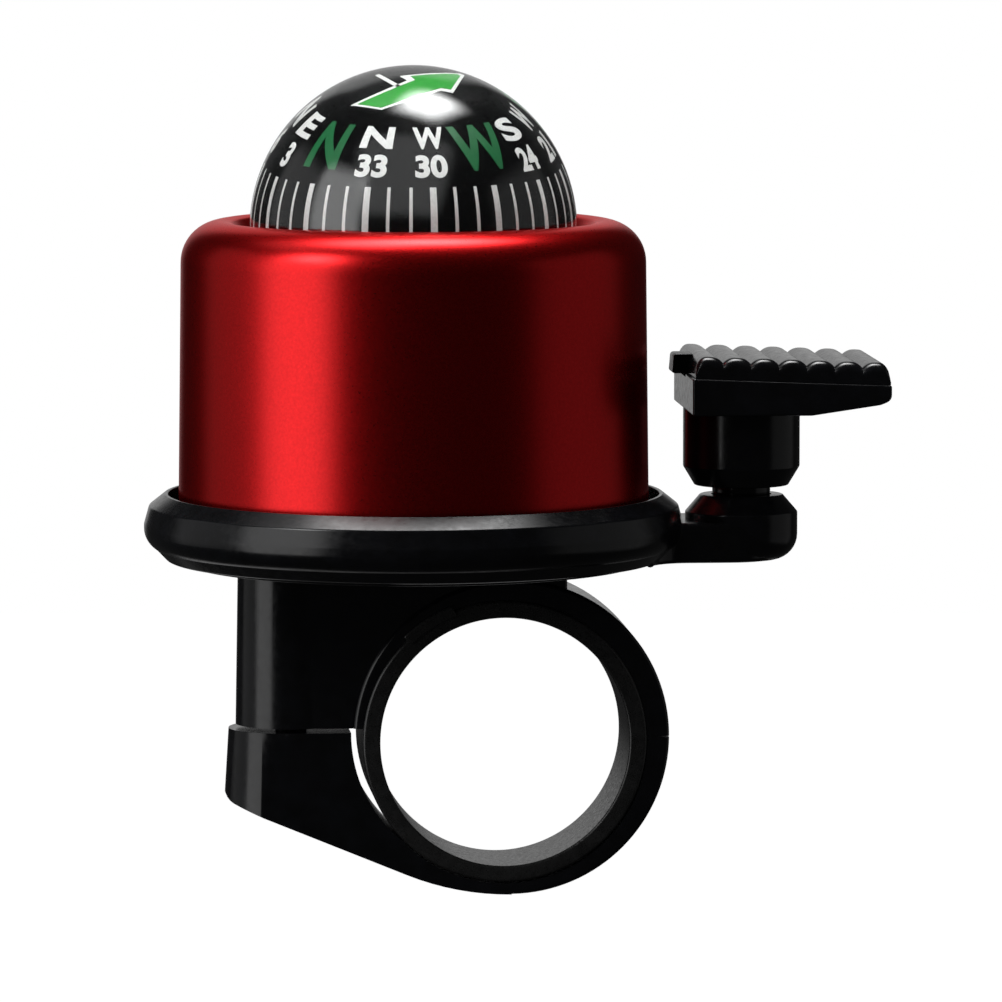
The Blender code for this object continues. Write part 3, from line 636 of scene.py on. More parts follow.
def make_clamp_liner():
    """The rubber liner, with a small locating tab over the band's edge on both faces.

    It is a little thinner at the bottom, where the strap closes in on it."""
    w = high("clamp_liner", Y)
    outer = BAND_BORE_R - LINER_CLEARANCE
    outline = [(BORE_R, w, 0.25), (outer, w, 0.3), (outer, -w, 0.3), (BORE_R, -w, 0.25)]
    liner = lathe("liner", rounded(outline, 0.3, closed=True), steps=160, closed=True, along_y=True)
    start, end = LINER_TAB_TURN
    tab = arc((0, 0), outer - 0.6, start, end, 3) + arc((0, 0), outer + 0.45, end, start, 3)
    for vertex in liner.data.vertices:
        x, _, z = vertex.co
        if math.hypot(x, z) > (BORE_R + 0.7) * MM:
            downward = max(0, -z / math.hypot(x, z))
            vertex.co *= Vector((1, 1, 1)) - Vector((1, 0, 1)) * (LINER_SQUEEZE / outer * downward)
    for side in (-1, 1):
        face, top = side * (BAND_HALF_WIDTH + 0.03), side * (w + 0.2)
        combine(liner, "UNION", slab("tab", tab, face, top, 0.16))
    return stand_for(tidied(liner), "clamp_liner", LINER)


def cross_cut(x, z_low, z_high, span):
    """A cutter for a cross recess."""
    width = 0.75
    first = block("recess", (x - span / 2, x + span / 2), (-width / 2, width / 2), (z_low, z_high))
    second = block("recess_across", (x - width / 2, x + width / 2), (-span / 2, span / 2), (z_low, z_high))
    return combine(first, "UNION", second)


def screw(node, x, shank_r, tip_z, head_z, head_r, pitch):
    """A pan-head screw with a ridged thread. The head is below the shank if tip_z is above head_z."""
    tip_taper, thread_depth, neck_r = 0.35, 0.14, shank_r - 0.05
    way = 1 if tip_z > head_z else -1
    top = head_z - way * HEAD_HEIGHT
    shank = [(0, tip_z), (shank_r - tip_taper, tip_z)]
    turns = int(abs(tip_z - head_z) / pitch) - 1
    for i in range(turns):
        z = tip_z - way * (tip_taper + i * pitch)
        shank += [(shank_r, z), (shank_r - thread_depth, z - way * pitch / 2)]
    shank += [(neck_r, tip_z - way * (tip_taper + turns * pitch)), (neck_r, head_z)]
    head = rounded([(neck_r, head_z), (head_r, head_z, 0.15), (head_r, top, 0.8), (0, top)], 0.2)
    obj = lathe(node, shank + head[1:], x, 64)
    cut_low, cut_high = sorted((top - way, top + way * 1.1))
    cut(obj, cross_cut(x, cut_low, cut_high, head_r * 1.15))
    return stand_for(tidied(obj), node, STEEL)


def washer(node, x, inner, outer, look):
    """A flat ring with rounded edges, at the node's own height."""
    z_low, z_high = low(node, Z), high(node, Z)
    outline = [(inner, z_high, 0.08), (outer, z_high, 0.12), (outer, z_low, 0.12), (inner, z_low, 0.08)]
    return stand_for(lathe(node, rounded(outline, 0.1, closed=True), x, 96, closed=True), node, look)


def make_clamp_nut():
    node = "clamp_nut"
    z_low, z_high = low(node, Z), high(node, Z)
    nut = bevelled(hexagon_cut(node, COLUMN_X, z_low, z_high, NUT_FLATS), 0.15, 2)
    cut(nut, round_cut("nut_bore", COLUMN_X, z_low - 1, z_high + 1, NUT_BORE_R, 48))
    return stand_for(tidied(nut), node, STEEL)


# Cup and its stack


def make_bell_cup():
    """The drawn cup, with a soft shoulder, a lip rolled into the well and a turned edge below."""
    t = CUP_WALL
    lip_r, shoulder_z = CUP_R - LIP_INSET, CUP_TOP_Z - SHOULDER_R
    well = [(CUP_HOLE_R, WELL_FLOOR_Z, 0.1), (WELL_R, WELL_FLOOR_Z, 0.8), (WELL_R, WELL_LIP_Z, 0.8)]
    well += [(WELL_R + 0.5, CUP_TOP_Z - 0.9, 0.8), (WELL_R + 1.2, CUP_TOP_Z - 0.15, 0.6)]
    shoulder = arc((lip_r, shoulder_z), SHOULDER_R, 90, 0, 6)
    wall = [(CUP_R, CUP_Z, 0.12), (CUP_R - t, CUP_Z, 0.12)]
    back = arc((lip_r, shoulder_z), SHOULDER_R - t, 0, 90, 9)
    inner = [(WELL_R + 1.3, WELL_LIP_Z + 0.5), (WELL_R + t, WELL_LIP_Z - 0.3)]
    inner += [(WELL_R + t, WELL_FLOOR_Z + 0.1), (WELL_R, WELL_FLOOR_Z - t)]
    outline = well + shoulder + wall + back + inner + [(CUP_HOLE_R, WELL_FLOOR_Z - t)]
    cup = lathe("cup", rounded(outline, 0.1, closed=True), BELL_X, 192, closed=True)
    return stand_for(cup, "bell_cup", RED)


# Compass


def make_compass_base():
    """The plug that closes the dome from below, with the needle's hub on top and a skirt round its foot."""
    node = "compass_base"
    foot_z, hub_z, skirt_z = low(node, Z), high(node, Z), DOME_SKIRT_Z - 0.3
    profile = [(0, NEEDLE_HOLE_Z), (NEEDLE_HOLE_R, NEEDLE_HOLE_Z), (NEEDLE_HOLE_R, hub_z)]
    profile += [(NEEDLE_HUB_R, hub_z), (NEEDLE_HUB_R + 0.4, PLUG_Z)]
    profile += [(PLUG_R, PLUG_Z), (PLUG_R, skirt_z), (SKIRT_R, skirt_z)]
    profile += [(SKIRT_R, foot_z), (SKIRT_BORE_R, foot_z), (SKIRT_BORE_R, DOME_SKIRT_Z), (0, DOME_SKIRT_Z)]
    return stand_for(lathe(node, rounded(profile, 0.12), BELL_X), node, PLASTIC)


def make_compass_seal():
    node = "compass_seal"
    radius = (high(node, Z) - low(node, Z)) / 2
    centre = (high(node, Y) - radius, middle(node, Z))
    seal = lathe(node, arc(centre, radius, 180, -180, 20)[:-1], BELL_X, closed=True)
    return stand_for(seal, node, RUBBER)


def make_compass_dome():
    inner = DOME_R - DOME_WALL
    profile = arc((0, DOME_Z), DOME_R, 90, 0, 3) + [(DOME_R, DOME_SKIRT_Z), (inner, DOME_SKIRT_Z)]
    profile += arc((0, DOME_Z), inner, 0, 90, 3)
    dome = stand_for(lathe("dome", profile, BELL_X, 192), "compass_dome", CLEAR)
    dome.visible_shadow = False
    return dome


def make_compass_liquid():
    """The damping liquid between dome and card, which magnifies the card so that it seems to fill the dome.

    It overlaps the dome's wall, the card and the plug a little, so that light meets no film of air."""
    skin = LIQUID_OVERLAP
    outer, inner = DOME_R - DOME_WALL + skin, CARD_R - skin
    rim = math.degrees(math.asin((CARD_RIM_Z - CARD_Z) / CARD_R))
    top = math.degrees(math.asin((CARD_TOP_Z - skin - CARD_Z) / inner))
    profile = arc((0, DOME_Z), outer, 90, 0, 3) + [(outer, PLUG_Z - skin), (0, PLUG_Z - skin)]
    profile += [(0, CARD_RIM_Z - 0.2), (CARD_R - 0.4, CARD_RIM_Z - 0.2)]
    profile += arc((0, CARD_Z), inner, rim, top, 3) + [(0, CARD_TOP_Z - skin)]
    liquid = lathe("compass_liquid", profile, BELL_X, 192)
    liquid.data.materials.append(clear("liquid", LIQUID_IOR))
    shaded(liquid)
    liquid.visible_shadow = False
    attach(liquid, "base")


def make_compass_card():
    """The card is a dome with a flat top for the arrow."""
    inner = CARD_R - CARD_WALL
    drop, rise = CARD_RIM_Z - CARD_Z, CARD_TOP_Z - CARD_Z
    top, rim = math.degrees(math.asin(rise / CARD_R)), math.degrees(math.asin(drop / CARD_R))
    top_inner = math.degrees(math.asin((rise - CARD_WALL) / inner))
    rim_inner = math.degrees(math.asin(drop / inner))
    profile = [(0, CARD_TOP_Z)] + arc((0, CARD_Z), CARD_R, top, rim, 3)
    profile += arc((0, CARD_Z), inner, rim_inner, top_inner, 4) + [(0, CARD_TOP_Z - CARD_WALL)]
    return stand_for(lathe("card", profile, BELL_X, 160), "compass_card", CARD)


def make_card_float():
    """The disc under the card, with the jewel's hub."""
    node = "card_float"
    top_z, hub_z = high(node, Z), low(node, Z)
    rim_r = high(node, Y)
    profile = [(0, top_z), (rim_r, top_z, 0.2), (rim_r, FLOAT_LOW_Z, 0.2), (FLOAT_HUB_R, FLOAT_LOW_Z)]
    profile += [(FLOAT_HUB_R, hub_z), (FLOAT_HUB_BORE_R, hub_z), (FLOAT_HUB_BORE_R, FLOAT_POCKET_Z)]
    profile = rounded(profile + [(0, FLOAT_POCKET_Z)], 0.1)
    return stand_for(lathe(node, profile, BELL_X, 96), node, CARD)


def make_pivot():
    """The needle, and the jewel with its hollow that turns on the needle's tip."""
    top_z, low_z, hollow_z = 45.7, 44.9, 45.35
    jewel = rounded([(0, top_z), (0.9, top_z), (0.9, low_z), (0.5, low_z, 0), (0, hollow_z)], 0.1)
    stand_for(lathe("jewel", jewel, BELL_X, 48), "pivot_jewel", jewel_red())
    tip_z, foot_z = high("pivot_needle", Z), low("pivot_needle", Z)
    needle = [(0, tip_z), (0.3, tip_z - 0.45), (0.3, foot_z), (0, foot_z)]
    stand_for(lathe("needle", needle, BELL_X, 32), "pivot_needle", STEEL)


def on_card(shape, bearing, latitude):
    """Wraps flat artwork in mm, x across and y up, on the card. Its z is above and below the face."""
    across = math.cos(math.radians(latitude))
    for vertex in shape.verts:
        u, v, w = vertex.co
        turn = math.radians(bearing) + u / (CARD_R * across)
        lat = math.radians(latitude) + v / CARD_R
        r = CARD_R + w * MARK_RISE
        x, y = r * math.cos(lat) * math.sin(turn), -r * math.cos(lat) * math.cos(turn)
        vertex.co = ((BELL_X + x) * MM, y * MM, (CARD_Z + r * math.sin(lat)) * MM)


def on_top(shape, bearing):
    """Lays flat artwork in mm on the card's flat top: its y axis points along the bearing."""
    turn = math.radians(bearing)
    for vertex in shape.verts:
        u, v, w = vertex.co
        x, y = v * math.sin(turn) + u * math.cos(turn), u * math.sin(turn) - v * math.cos(turn)
        vertex.co = ((BELL_X + x) * MM, y * MM, (CARD_TOP_Z + w * MARK_RISE) * MM)


def sliced(shape):
    """Cuts flat artwork on a grid, so that it can bend. The offset keeps cuts off its centre lines."""
    pitch, offset = 0.6, 0.37
    for axis in (X, Y):
        reach = max((abs(v.co[axis]) for v in shape.verts), default=0)
        for i in range(-int(reach / pitch) - 1, int(reach / pitch) + 2):
            spot, normal = Vector((0, 0, 0)), Vector((0, 0, 0))
            spot[axis], normal[axis] = (i + offset) * pitch, 1
            everything = shape.verts[:] + shape.edges[:] + shape.faces[:]
            bmesh.ops.bisect_plane(shape, geom=everything, dist=1e-5, plane_co=spot, plane_no=normal)
    return shape


def flat_art(outline, low_w=-1.0, high_w=1.0):
    """A closed outline as a thin plate."""
    shape = bmesh.new()
    bottom = [shape.verts.new((x, y, low_w)) for x, y in outline]
    top = [shape.verts.new((x, y, high_w)) for x, y in outline]
    shape.faces.new(bottom)
    shape.faces.new(top)
    for i in range(len(outline)):
        k = (i + 1) % len(outline)
        shape.faces.new((bottom[i], bottom[k], top[k], top[i]))
    bmesh.ops.recalc_face_normals(shape, faces=shape.faces)
    bmesh.ops.triangulate(shape, faces=shape.faces)
    return sliced(shape)


def lettering(text, width, height, weight):
    """Text as a thin plate, width by height mm and centred, its strokes thickened by weight."""
    curve = bpy.data.curves.new("lettering", "FONT")
    curve.body = text
    curve.offset = weight
    curve.extrude = 1.0
    curve.resolution_u = 6
    holder = place(bpy.data.objects.new("lettering", curve))
    mesh = final_mesh(holder)
    bpy.data.objects.remove(holder)
    shape = bmesh.new()
    shape.from_mesh(mesh)
    bmesh.ops.remove_doubles(shape, verts=shape.verts, dist=1e-6)
    spans = [(min(v.co[a] for v in shape.verts), max(v.co[a] for v in shape.verts)) for a in (X, Y)]
    for vertex in shape.verts:
        for axis, size in ((X, width), (Y, height)):
            first, last = spans[axis]
            vertex.co[axis] = ((vertex.co[axis] - first) / (last - first) - 0.5) * size
    return sliced(shape)


def printed(name, shapes, look):
    """One piece of ink on the card from all its marks."""
    mesh = bpy.data.meshes.new(name)
    whole = bmesh.new()
    for shape in shapes:
        bmesh.ops.recalc_face_normals(shape, faces=shape.faces)
        part = bpy.data.meshes.new("mark")
        shape.to_mesh(part)
        shape.free()
        whole.from_mesh(part)
        bpy.data.meshes.remove(part)
    whole.to_mesh(mesh)
    whole.free()
    obj = place(bpy.data.objects.new(name, mesh))
    mesh.materials.append(look)
    shaded(obj, 30)
    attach(obj, "card")


MARKS_START = -25.0  # the bearing of the mark that reads N 33; 0 faces -Y and 90 faces +X
DEGREE_MARKS = ("N 33", "W 30", "W", "S 24", "W 21", "S", "S 15", "E 12", "E", "N 6", "E 3", "N")
TICK_LAT, TICK_TOP_LAT = -8.0, 21.4
TICK_HALF_WIDTH, WIDE_TICK_HALF_WIDTH = 0.14, 0.28
NUMBER_LAT, LETTER_LAT, BIG_LETTER_LAT = 31.0, 45.1, 39.5
NUMBER_WIDTHS, NUMBER_HEIGHT, NUMBER_WEIGHT = {1: 1.25, 2: 2.65}, 2.05, 0.04
LETTER_WIDTH, LETTER_HEIGHT, LETTER_WEIGHT = 2.6, 2.2, 0.035
BIG_W_WIDTH, BIG_LETTER_WIDTH, BIG_LETTER_HEIGHT, BIG_LETTER_WEIGHT = 5.2, 3.2, 4.3, 0.03
ARROW_BEARING, ARROW_OFFSET, ARROW_BORDER = 135.0, 0.3, 0.38


def make_ticks():
    """A tick every 10 degrees, and each third one wide."""
    ticks = []
    tall = CARD_R * math.radians(TICK_TOP_LAT - TICK_LAT) / 2
    for i in range(36):
        wide = WIDE_TICK_HALF_WIDTH if i % 3 == 0 else TICK_HALF_WIDTH
        tick = flat_art([(-wide, -tall), (wide, -tall), (wide, tall), (-wide, tall)])
        on_card(tick, MARKS_START + 10 * i, (TICK_LAT + TICK_TOP_LAT) / 2)
        ticks.append(tick)
    return ticks


def make_letters():
    """The tens of degrees with the letter above, and the four big letters in green."""
    small, big = [], []
    for i, text in enumerate(DEGREE_MARKS):
        bearing = MARKS_START + 30 * i
        letter, _, number = text.partition(" ")
        if number:
            small.append(lettering(letter, LETTER_WIDTH, LETTER_HEIGHT, LETTER_WEIGHT))
            on_card(small[-1], bearing, LETTER_LAT)
            small.append(lettering(number, NUMBER_WIDTHS[len(number)], NUMBER_HEIGHT, NUMBER_WEIGHT))
            on_card(small[-1], bearing, NUMBER_LAT)
        else:
            width = BIG_W_WIDTH if letter == "W" else BIG_LETTER_WIDTH
            big.append(lettering(letter, width, BIG_LETTER_HEIGHT, BIG_LETTER_WEIGHT))
            on_card(big[-1], bearing, BIG_LETTER_LAT)
    return small, big


def arrow_outline(grow):
    """The arrow along y, its outline grown by this much."""
    tail, neck, tip = -4.75 - grow, 1.9, 4.8 + grow
    shaft, barb = 1.15 + grow, 1.85 + 1.5 * grow
    half = [(shaft, tail), (shaft, neck - grow), (barb, neck + 0.3 - grow), (0.15, tip)]
    right = [(ARROW_OFFSET + x, y) for x, y in half]
    return right + [(ARROW_OFFSET - x, y) for x, y in reversed(half)]


def make_card_marks():
    """The degree scale, the letters, and the arrow on top with its white border and cross line."""
    small, big = make_letters()
    border, body = flat_art(arrow_outline(ARROW_BORDER)), flat_art(arrow_outline(0.0), -1.0, 2.0)
    line = flat_art([(1.2, -0.1), (4.2, 1.1), (4.1, 1.4), (1.2, 0.3)])
    for shape in (border, body, line):
        on_top(shape, ARROW_BEARING)
    printed("card_scale", make_ticks() + small + [border, line], WHITE_INK)
    printed("card_letters", big, GREEN_INK)
    printed("card_arrow", [body], BRIGHT_GREEN_INK)


# Striker lever


def hammer_cut(name, left, z_low, z_high):
    """The slot that the hammer's tongue lies in, open at the left."""
    end = high("striker_hammer", X) + HAMMER_CUT_GAP
    return block(name, (left - 1, end), (-HAMMER_CUT_HALF_WIDTH, HAMMER_CUT_HALF_WIDTH), (z_low, z_high))


def make_lever_body():
    """The ball, the post with its chamfer, and the pad."""
    first = math.degrees(math.asin((LEVER_POST_Z - PIVOT_Z) / BALL_R))
    last = -math.degrees(math.acos(SPRING_BORE_R / BALL_R))
    top_z = PAD_Z + 1.3
    corners = [(SPRING_BORE_R, top_z), (LEVER_POST_R, top_z), (LEVER_POST_R, POST_CHAMFER_Z)]
    corners.append((POST_CHAMFER_R, LEVER_POST_Z, 0.15))
    ball = arc((0, PIVOT_Z), BALL_R, first, last, 6)
    profile = rounded(corners + [ball[0]], 0.3)
    lever = lathe("lever", profile[:-1] + ball, LEVER_X, 96, closed=True)
    outline = [(PAD_X, PAD_Z, 0.25), (PAD_NOSE_X, PAD_Z, 0.3), (PAD_END_X - 1.0, PAD_Z + 0.9, 0.9)]
    outline += [(PAD_END_X, top_z, 1.0), (PAD_END_X, PAD_TOP_END_Z, 0.2), (PAD_X, PAD_TOP_Z, 0.2)]
    pad = slab("pad", rounded(outline, 0.2, closed=True), -PAD_HALF_WIDTH, PAD_HALF_WIDTH, 0.3)
    combine(lever, "UNION", pad)
    over = PAD_TOP_Z + 1.45
    cuts = [round_cut("lever_bore", LEVER_X, PAD_Z - 0.5, over, LEVER_BORE_R)]
    cuts.append(hammer_cut("hammer_cut", PAD_X, low("striker_hammer", Z) - HAMMER_CUT_GAP, over))
    cuts.append(pin_slot_cut(PAD_Z + 0.7, over))
    cut(lever, *cuts)
    return stand_for(tidied(lever), "lever_body", PLASTIC)


def rib_height(x, left, pitch):
    """Height over the cap's valleys: broad half-round ribs that meet in sharp valleys."""
    share = ((x - left) / pitch) % 1.0
    return RIB_HEIGHT * (1 - abs(2 * share - 1) ** RIB_POWER)


def make_thumb_cap():
    """The cap as a grid over the pad: ribs along x, and a top that rolls over at all four edges."""
    left, right, half = PAD_X + 0.25, PAD_END_X - 0.1, PAD_HALF_WIDTH - 0.12
    pitch, roll = (right - left) / RIBS, CAP_ROLL_R
    slope = (CAP_CREST_END_Z - CAP_CREST_Z) / (right - left)
    columns = [left + pitch * (i / 16) for i in range(16 * RIBS)] + [right]
    ends = [half - roll * (1 - math.cos(math.radians(a))) for a in range(0, 91, 10)]
    rows = [-y for y in ends] + [-half * k / 8 for k in range(7, -8, -1)] + ends[::-1]
    vertices = []
    for x in columns:
        for y in rows:
            edge = max(0.0, abs(y) - (half - roll))
            end = max(0.0, roll - (x - left), roll - (right - x))
            drop = sum(roll - math.sqrt(max(0.0, roll ** 2 - e ** 2)) for e in (edge, end))
            top = CAP_CREST_Z + slope * (x - left) - RIB_HEIGHT + rib_height(x, left, pitch)
            vertices.append((x, y, top - min(drop, CAP_ROLL_DROP)))
    count = len(rows)
    low_start = len(vertices)
    fall = (PAD_TOP_END_Z - PAD_TOP_Z) / (PAD_END_X - PAD_X)
    vertices += [(x, y, PAD_TOP_Z + fall * (x - PAD_X) + 0.02) for x in columns for y in (rows[0], rows[-1])]
    faces = []
    for i in range(len(columns) - 1):
        a, b = i * count, (i + 1) * count
        c, d = low_start + 2 * i, low_start + 2 * (i + 1)
        faces += [(a + j, b + j, b + j + 1, a + j + 1) for j in range(count - 1)]
        faces += [(a, c, d, b), (a + count - 1, b + count - 1, d + 1, c + 1), (c, c + 1, d + 1, d)]
    last = (len(columns) - 1) * count
    faces.append(tuple(range(count)) + (low_start + 1, low_start))
    faces.append(tuple(range(last, last + count)) + (len(vertices) - 1, len(vertices) - 2))
    cap = made("cap", vertices, faces)
    cut(cap, hammer_cut("cap_cut", left, 31, TONGUE_Z + HAMMER_CUT_GAP))
    return stand_for(tidied(cap), "thumb_cap", PLASTIC, 30)


def make_striker_hammer():
    """The nose towards the cup, with a thinner tongue that runs back under the cap."""
    node = "striker_hammer"
    left, right, z_low, z_high = low(node, X), high(node, X), low(node, Z), high(node, Z)
    lip_x = low("thumb_cap", X) - 0.05
    outline = [(left, z_low, 0.25), (right, z_low, 0.1), (right, TONGUE_Z, 0.1), (lip_x, TONGUE_Z, 0.15)]
    outline += [(lip_x, z_high, 0.25), (left + 0.15, z_high, 0.3)]
    hammer = slab(node, rounded(outline, 0.1, closed=True), -high(node, Y), high(node, Y), 0.12)
    return stand_for(hammer, node, BLACK_STEEL)


def make_striker_spring():
    """The coil from hook to hook, a swept wire."""
    node = "striker_spring"
    wire_r, coil_r, turns, per_turn, sides = 0.22, 1.15, 14, 24, 10
    lower_z, upper_z = middle("lower_spring_pin", Z), middle("upper_spring_pin", Z)
    first_z, last_z, hook_r = 18.0, 29.4, 1.02
    path = [(x, 0, z) for x, z in arc((0, lower_z), hook_r, -180, 0, 12)]
    for i in range(turns * per_turn + 1):
        turn = 2 * math.pi * i / per_turn
        rise = first_z + (last_z - first_z) * i / (turns * per_turn)
        path.append((coil_r * math.cos(turn), coil_r * math.sin(turn), rise))
    path += [(x, 0, z) for x, z in arc((0, upper_z), hook_r, 0, 180, 12)]
    curve = bpy.data.curves.new(node, "CURVE")
    curve.dimensions = "3D"
    curve.bevel_depth = wire_r * MM
    curve.bevel_resolution = (sides - 4) // 2
    curve.use_fill_caps = True
    spline = curve.splines.new("POLY")
    spline.points.add(len(path) - 1)
    for point, (x, y, z) in zip(spline.points, path):
        point.co = ((LEVER_X + x) * MM, y * MM, z * MM, 1)
    holder = place(bpy.data.objects.new(node + "_path", curve))
    mesh = final_mesh(holder)
    bpy.data.objects.remove(holder)
    spring = tidied(place(bpy.data.objects.new(node + "_fine", mesh)))
    mesh.materials.clear()
    mesh.materials.append(STEEL)
    shaded(spring, 60)
    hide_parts(node)
    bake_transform(spring)


def make_pin(node):
    pin = rod(node + "_rod", LEVER_X, middle(node, Z), PIN_R, high(node, Y), 0.12)
    return stand_for(pin, node, STEEL)


# Studio

HEART = (BELL_X, 0, 30)  # the place that the lamps point at
LAMP_DISTANCE = 500
FLOOR_R, FLOOR_Z = 9.0, -1.0  # in metres
AIM = (0.04, 0, 21.05)
CAMERA_AZIMUTH, CAMERA_ELEVATION, CAMERA_DISTANCE = -4.6, 5.6, 700
LENS, SENSOR = 281.7, 36.0


def product(tree, first, second):
    """Two sockets' values multiplied."""
    node = fed(tree, "ShaderNodeMath", first)
    node.operation = "MULTIPLY"
    tree.links.new(second, node.inputs[1])
    return node.outputs[0]


def fade_edges(light, share):
    """Lets the panel's glow die away over this share of its width at each edge."""
    light.use_nodes = True
    tree = light.node_tree
    spot = tree.nodes.new("ShaderNodeNewGeometry")
    split = fed(tree, "ShaderNodeSeparateXYZ", spot.outputs["Parametric"])
    glows = []
    for axis in ("X", "Y"):
        fold = fed(tree, "ShaderNodeMath", split.outputs[axis])
        fold.operation = "PINGPONG"
        fold.inputs[1].default_value = 0.5
        ramp = fed(tree, "ShaderNodeMapRange", fold.outputs[0], "Value")
        ramp.interpolation_type = "SMOOTHSTEP"
        ramp.inputs["From Max"].default_value = share
        glows.append(ramp.outputs["Result"])
    tree.links.new(product(tree, *glows), tree.nodes["Emission"].inputs["Strength"])


def panel(name, bearings, elevations, radiance, half_width=None, fade=0.2):
    """A soft box that fills this range of bearings and elevations, as the bell sees it.

    Bearing 0 is on the camera's side and 90 on the right. Overhead, half_width in degrees stands for the
    range of bearings. The camera doesn't see the box."""
    turn, climb = math.radians(sum(bearings) / 2), math.radians(sum(elevations) / 2)
    flat = math.cos(climb)
    way = Vector((flat * math.sin(turn), -flat * math.cos(turn), math.sin(climb)))
    if half_width:
        side = math.tan(math.radians(half_width))
    else:
        side = math.tan(math.radians((bearings[1] - bearings[0]) / 2)) * flat
    tall = math.tan(math.radians(elevations[1] - elevations[0]) / 2)
    light = bpy.data.lights.new(name, "AREA")
    light.shape = "RECTANGLE"
    light.size = 2 * LAMP_DISTANCE * side * MM
    light.size_y = 2 * LAMP_DISTANCE * tall * MM
    light.energy = radiance * math.pi * light.size * light.size_y
    fade_edges(light, fade)
    lamp = place(bpy.data.objects.new(name, light))
    lamp.location = (Vector(HEART) + way * LAMP_DISTANCE) * MM
    lamp.rotation_euler = (-way).to_track_quat("-Z", "Y").to_euler()
    lamp.visible_camera = False
    return lamp


def keep_off_dome(lamp):
    """Keeps the lamp's light off the compass dome, so that it makes no highlight there."""
    spared = bpy.data.collections.new(lamp.name + "_spared")
    lamp.light_linking.receiver_collection = spared
    spared.objects.link(bpy.data.objects["compass_dome_fine"])
    spared.collection_objects[0].light_linking.link_state = "EXCLUDE"


def make_lamps():
    """Soft boxes all round. The front one only fills: it makes no glare."""
    panel("left_softbox", (-86, -39), (-26, 46), 1.65)
    panel("left_spill", (-130, -76), (-18, 40), 0.26)
    panel("right_fill", (52, 120), (-30, 36), 0.13)
    panel("top_softbox", (-33, -33), (86, 122), 16.0, half_width=17, fade=0.45)
    keep_off_dome(panel("rim_light", (45, 45), (82, 118), 9.0, half_width=19, fade=0.4))
    keep_off_dome(panel("top_left", (-108, -108), (42, 84), 0.9, half_width=22, fade=0.4))
    keep_off_dome(panel("shoulder_light", (-76, -44), (25, 52), 9.0, fade=0.4))
    panel("back_low", (150, 210), (-70, -24), 0.5)
    panel("back_panel", (160, 200), (-12, 48), 0.5)
    front = panel("front_fill", (-60, 30), (10, 80), 0.78)
    front.visible_glossy = False


def make_world():
    """White where the camera looks straight or through glass, and nearly black for rays that bounced."""
    world = bpy.data.worlds.new("studio")
    bpy.context.scene.world = world
    world.use_nodes = True
    tree = world.node_tree
    ground = tree.nodes["Background"]
    ground.inputs["Color"].default_value = (0.02, 0.02, 0.02, 1)
    pale = tree.nodes.new("ShaderNodeBackground")
    pale.inputs["Color"].default_value = (1, 1, 1, 1)
    rays = tree.nodes.new("ShaderNodeLightPath")
    unbounced = []
    for depth in ("Diffuse Depth", "Glossy Depth"):
        step = fed(tree, "ShaderNodeMath", rays.outputs[depth])
        step.operation = "LESS_THAN"
        step.inputs[1].default_value = 0.5
        unbounced.append(step.outputs[0])
    mix = fed(tree, "ShaderNodeMixShader", product(tree, *unbounced), "Fac")
    tree.links.new(ground.outputs[0], mix.inputs[1])
    tree.links.new(pale.outputs[0], mix.inputs[2])
    tree.links.new(mix.outputs[0], tree.nodes["World Output"].inputs["Surface"])


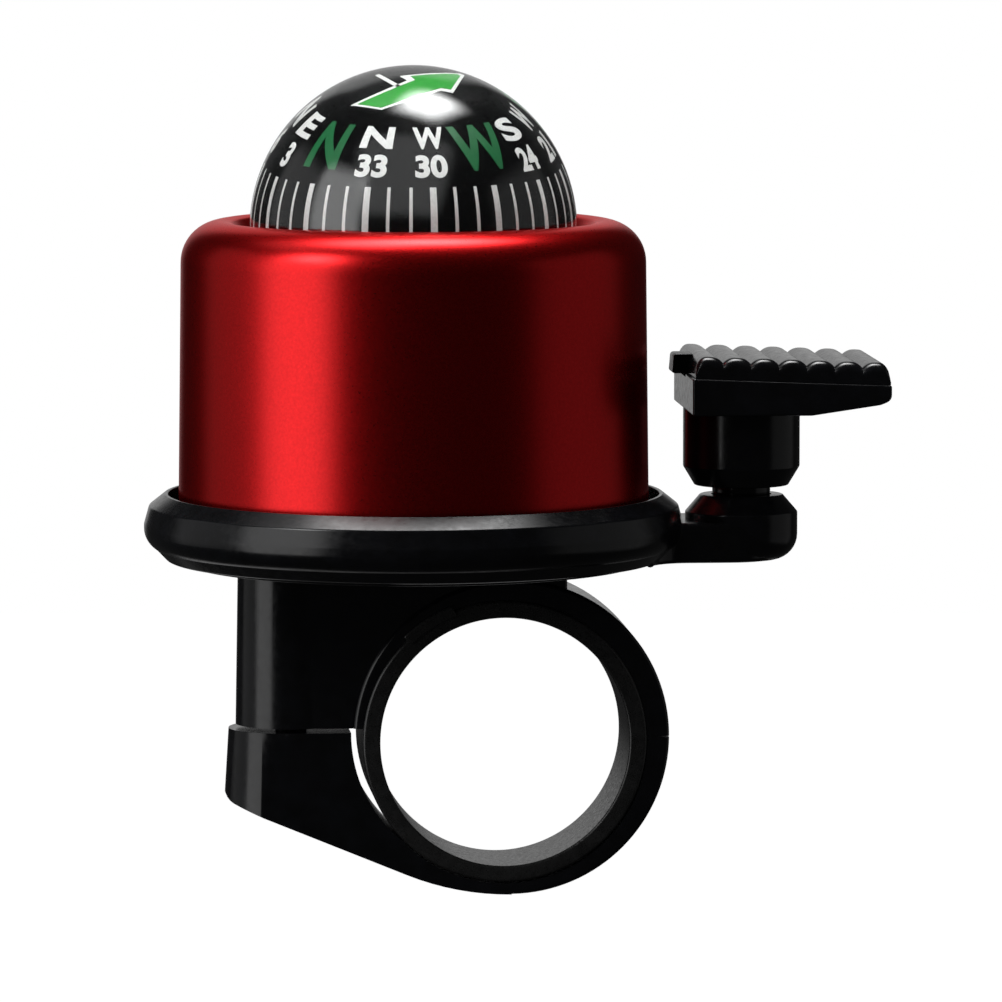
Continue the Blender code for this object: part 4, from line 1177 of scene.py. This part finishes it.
def make_floor():
    """A plain pale floor, well below the bell, because the bell hangs on a handlebar."""
    shape = bmesh.new()
    bmesh.ops.create_circle(shape, cap_ends=True, segments=96, radius=FLOOR_R)
    mesh = bpy.data.meshes.new("floor")
    shape.to_mesh(mesh)
    shape.free()
    floor = place(bpy.data.objects.new("floor", mesh))
    floor.location = (0, 0, FLOOR_Z)
    pale = Look("pale_floor", (0.9, 0.9, 0.9), 0.8)
    pale.tint(pale.noise(400.0), (0.88, 0.88, 0.88), (0.92, 0.92, 0.92))
    pale.set("Emission Color", (1, 1, 1, 1))
    pale.set("Emission Strength", 1.0)
    mesh.materials.append(pale.material)
    floor.visible_glossy = False
    floor.visible_diffuse = False


def make_camera():
    """A long lens, slightly to the left and above."""
    camera = bpy.data.cameras.new("camera")
    camera.sensor_width = SENSOR
    camera.lens = LENS
    camera.clip_start, camera.clip_end = 0.01, 50
    holder = place(bpy.data.objects.new("camera", camera))
    azimuth, elevation = math.radians(CAMERA_AZIMUTH), math.radians(CAMERA_ELEVATION)
    flat = math.cos(elevation)
    back = Vector((math.sin(azimuth) * flat, -math.cos(azimuth) * flat, math.sin(elevation)))
    holder.location = (Vector(AIM) + back * CAMERA_DISTANCE) * MM
    holder.rotation_euler = (-back).to_track_quat("-Z", "Y").to_euler()
    bpy.context.scene.camera = holder


make_base_moulding()
make_clamp_strap()
make_clamp_liner()
screw("clamp_screw", COLUMN_X, 1.5, high("clamp_screw", Z), low("clamp_screw", Z) + HEAD_HEIGHT, 2.8, 0.5)
washer("clamp_washer", COLUMN_X, 1.8, 3.0, STEEL)
make_clamp_nut()
make_bell_cup()
washer("bell_grommet", BELL_X, CUP_HOLE_R, 6.0, RUBBER)
washer("bell_washer", BELL_X, CUP_HOLE_R, 5.0, STEEL)
screw("bell_screw", BELL_X, 1.9, low("bell_screw", Z), high("bell_screw", Z) - HEAD_HEIGHT, 3.5, 0.7)
washer("post_insert", BELL_X, 2.2, 2.9, BRASS)
washer("adhesive_ring", BELL_X, 10.8, 13.9, FOAM)
make_compass_base()
make_compass_seal()
make_compass_dome()
make_compass_liquid()
make_compass_card()
make_card_marks()
make_card_float()
make_pivot()
washer("card_magnet", BELL_X, 3.5, 6.5, MAGNET)
make_lever_body()
make_thumb_cap()
make_striker_hammer()
make_striker_spring()
make_pin("lower_spring_pin")
make_pin("upper_spring_pin")
make_lamps()
make_world()
make_floor()
make_camera()
bpy.context.scene.view_settings.view_transform = "Standard"
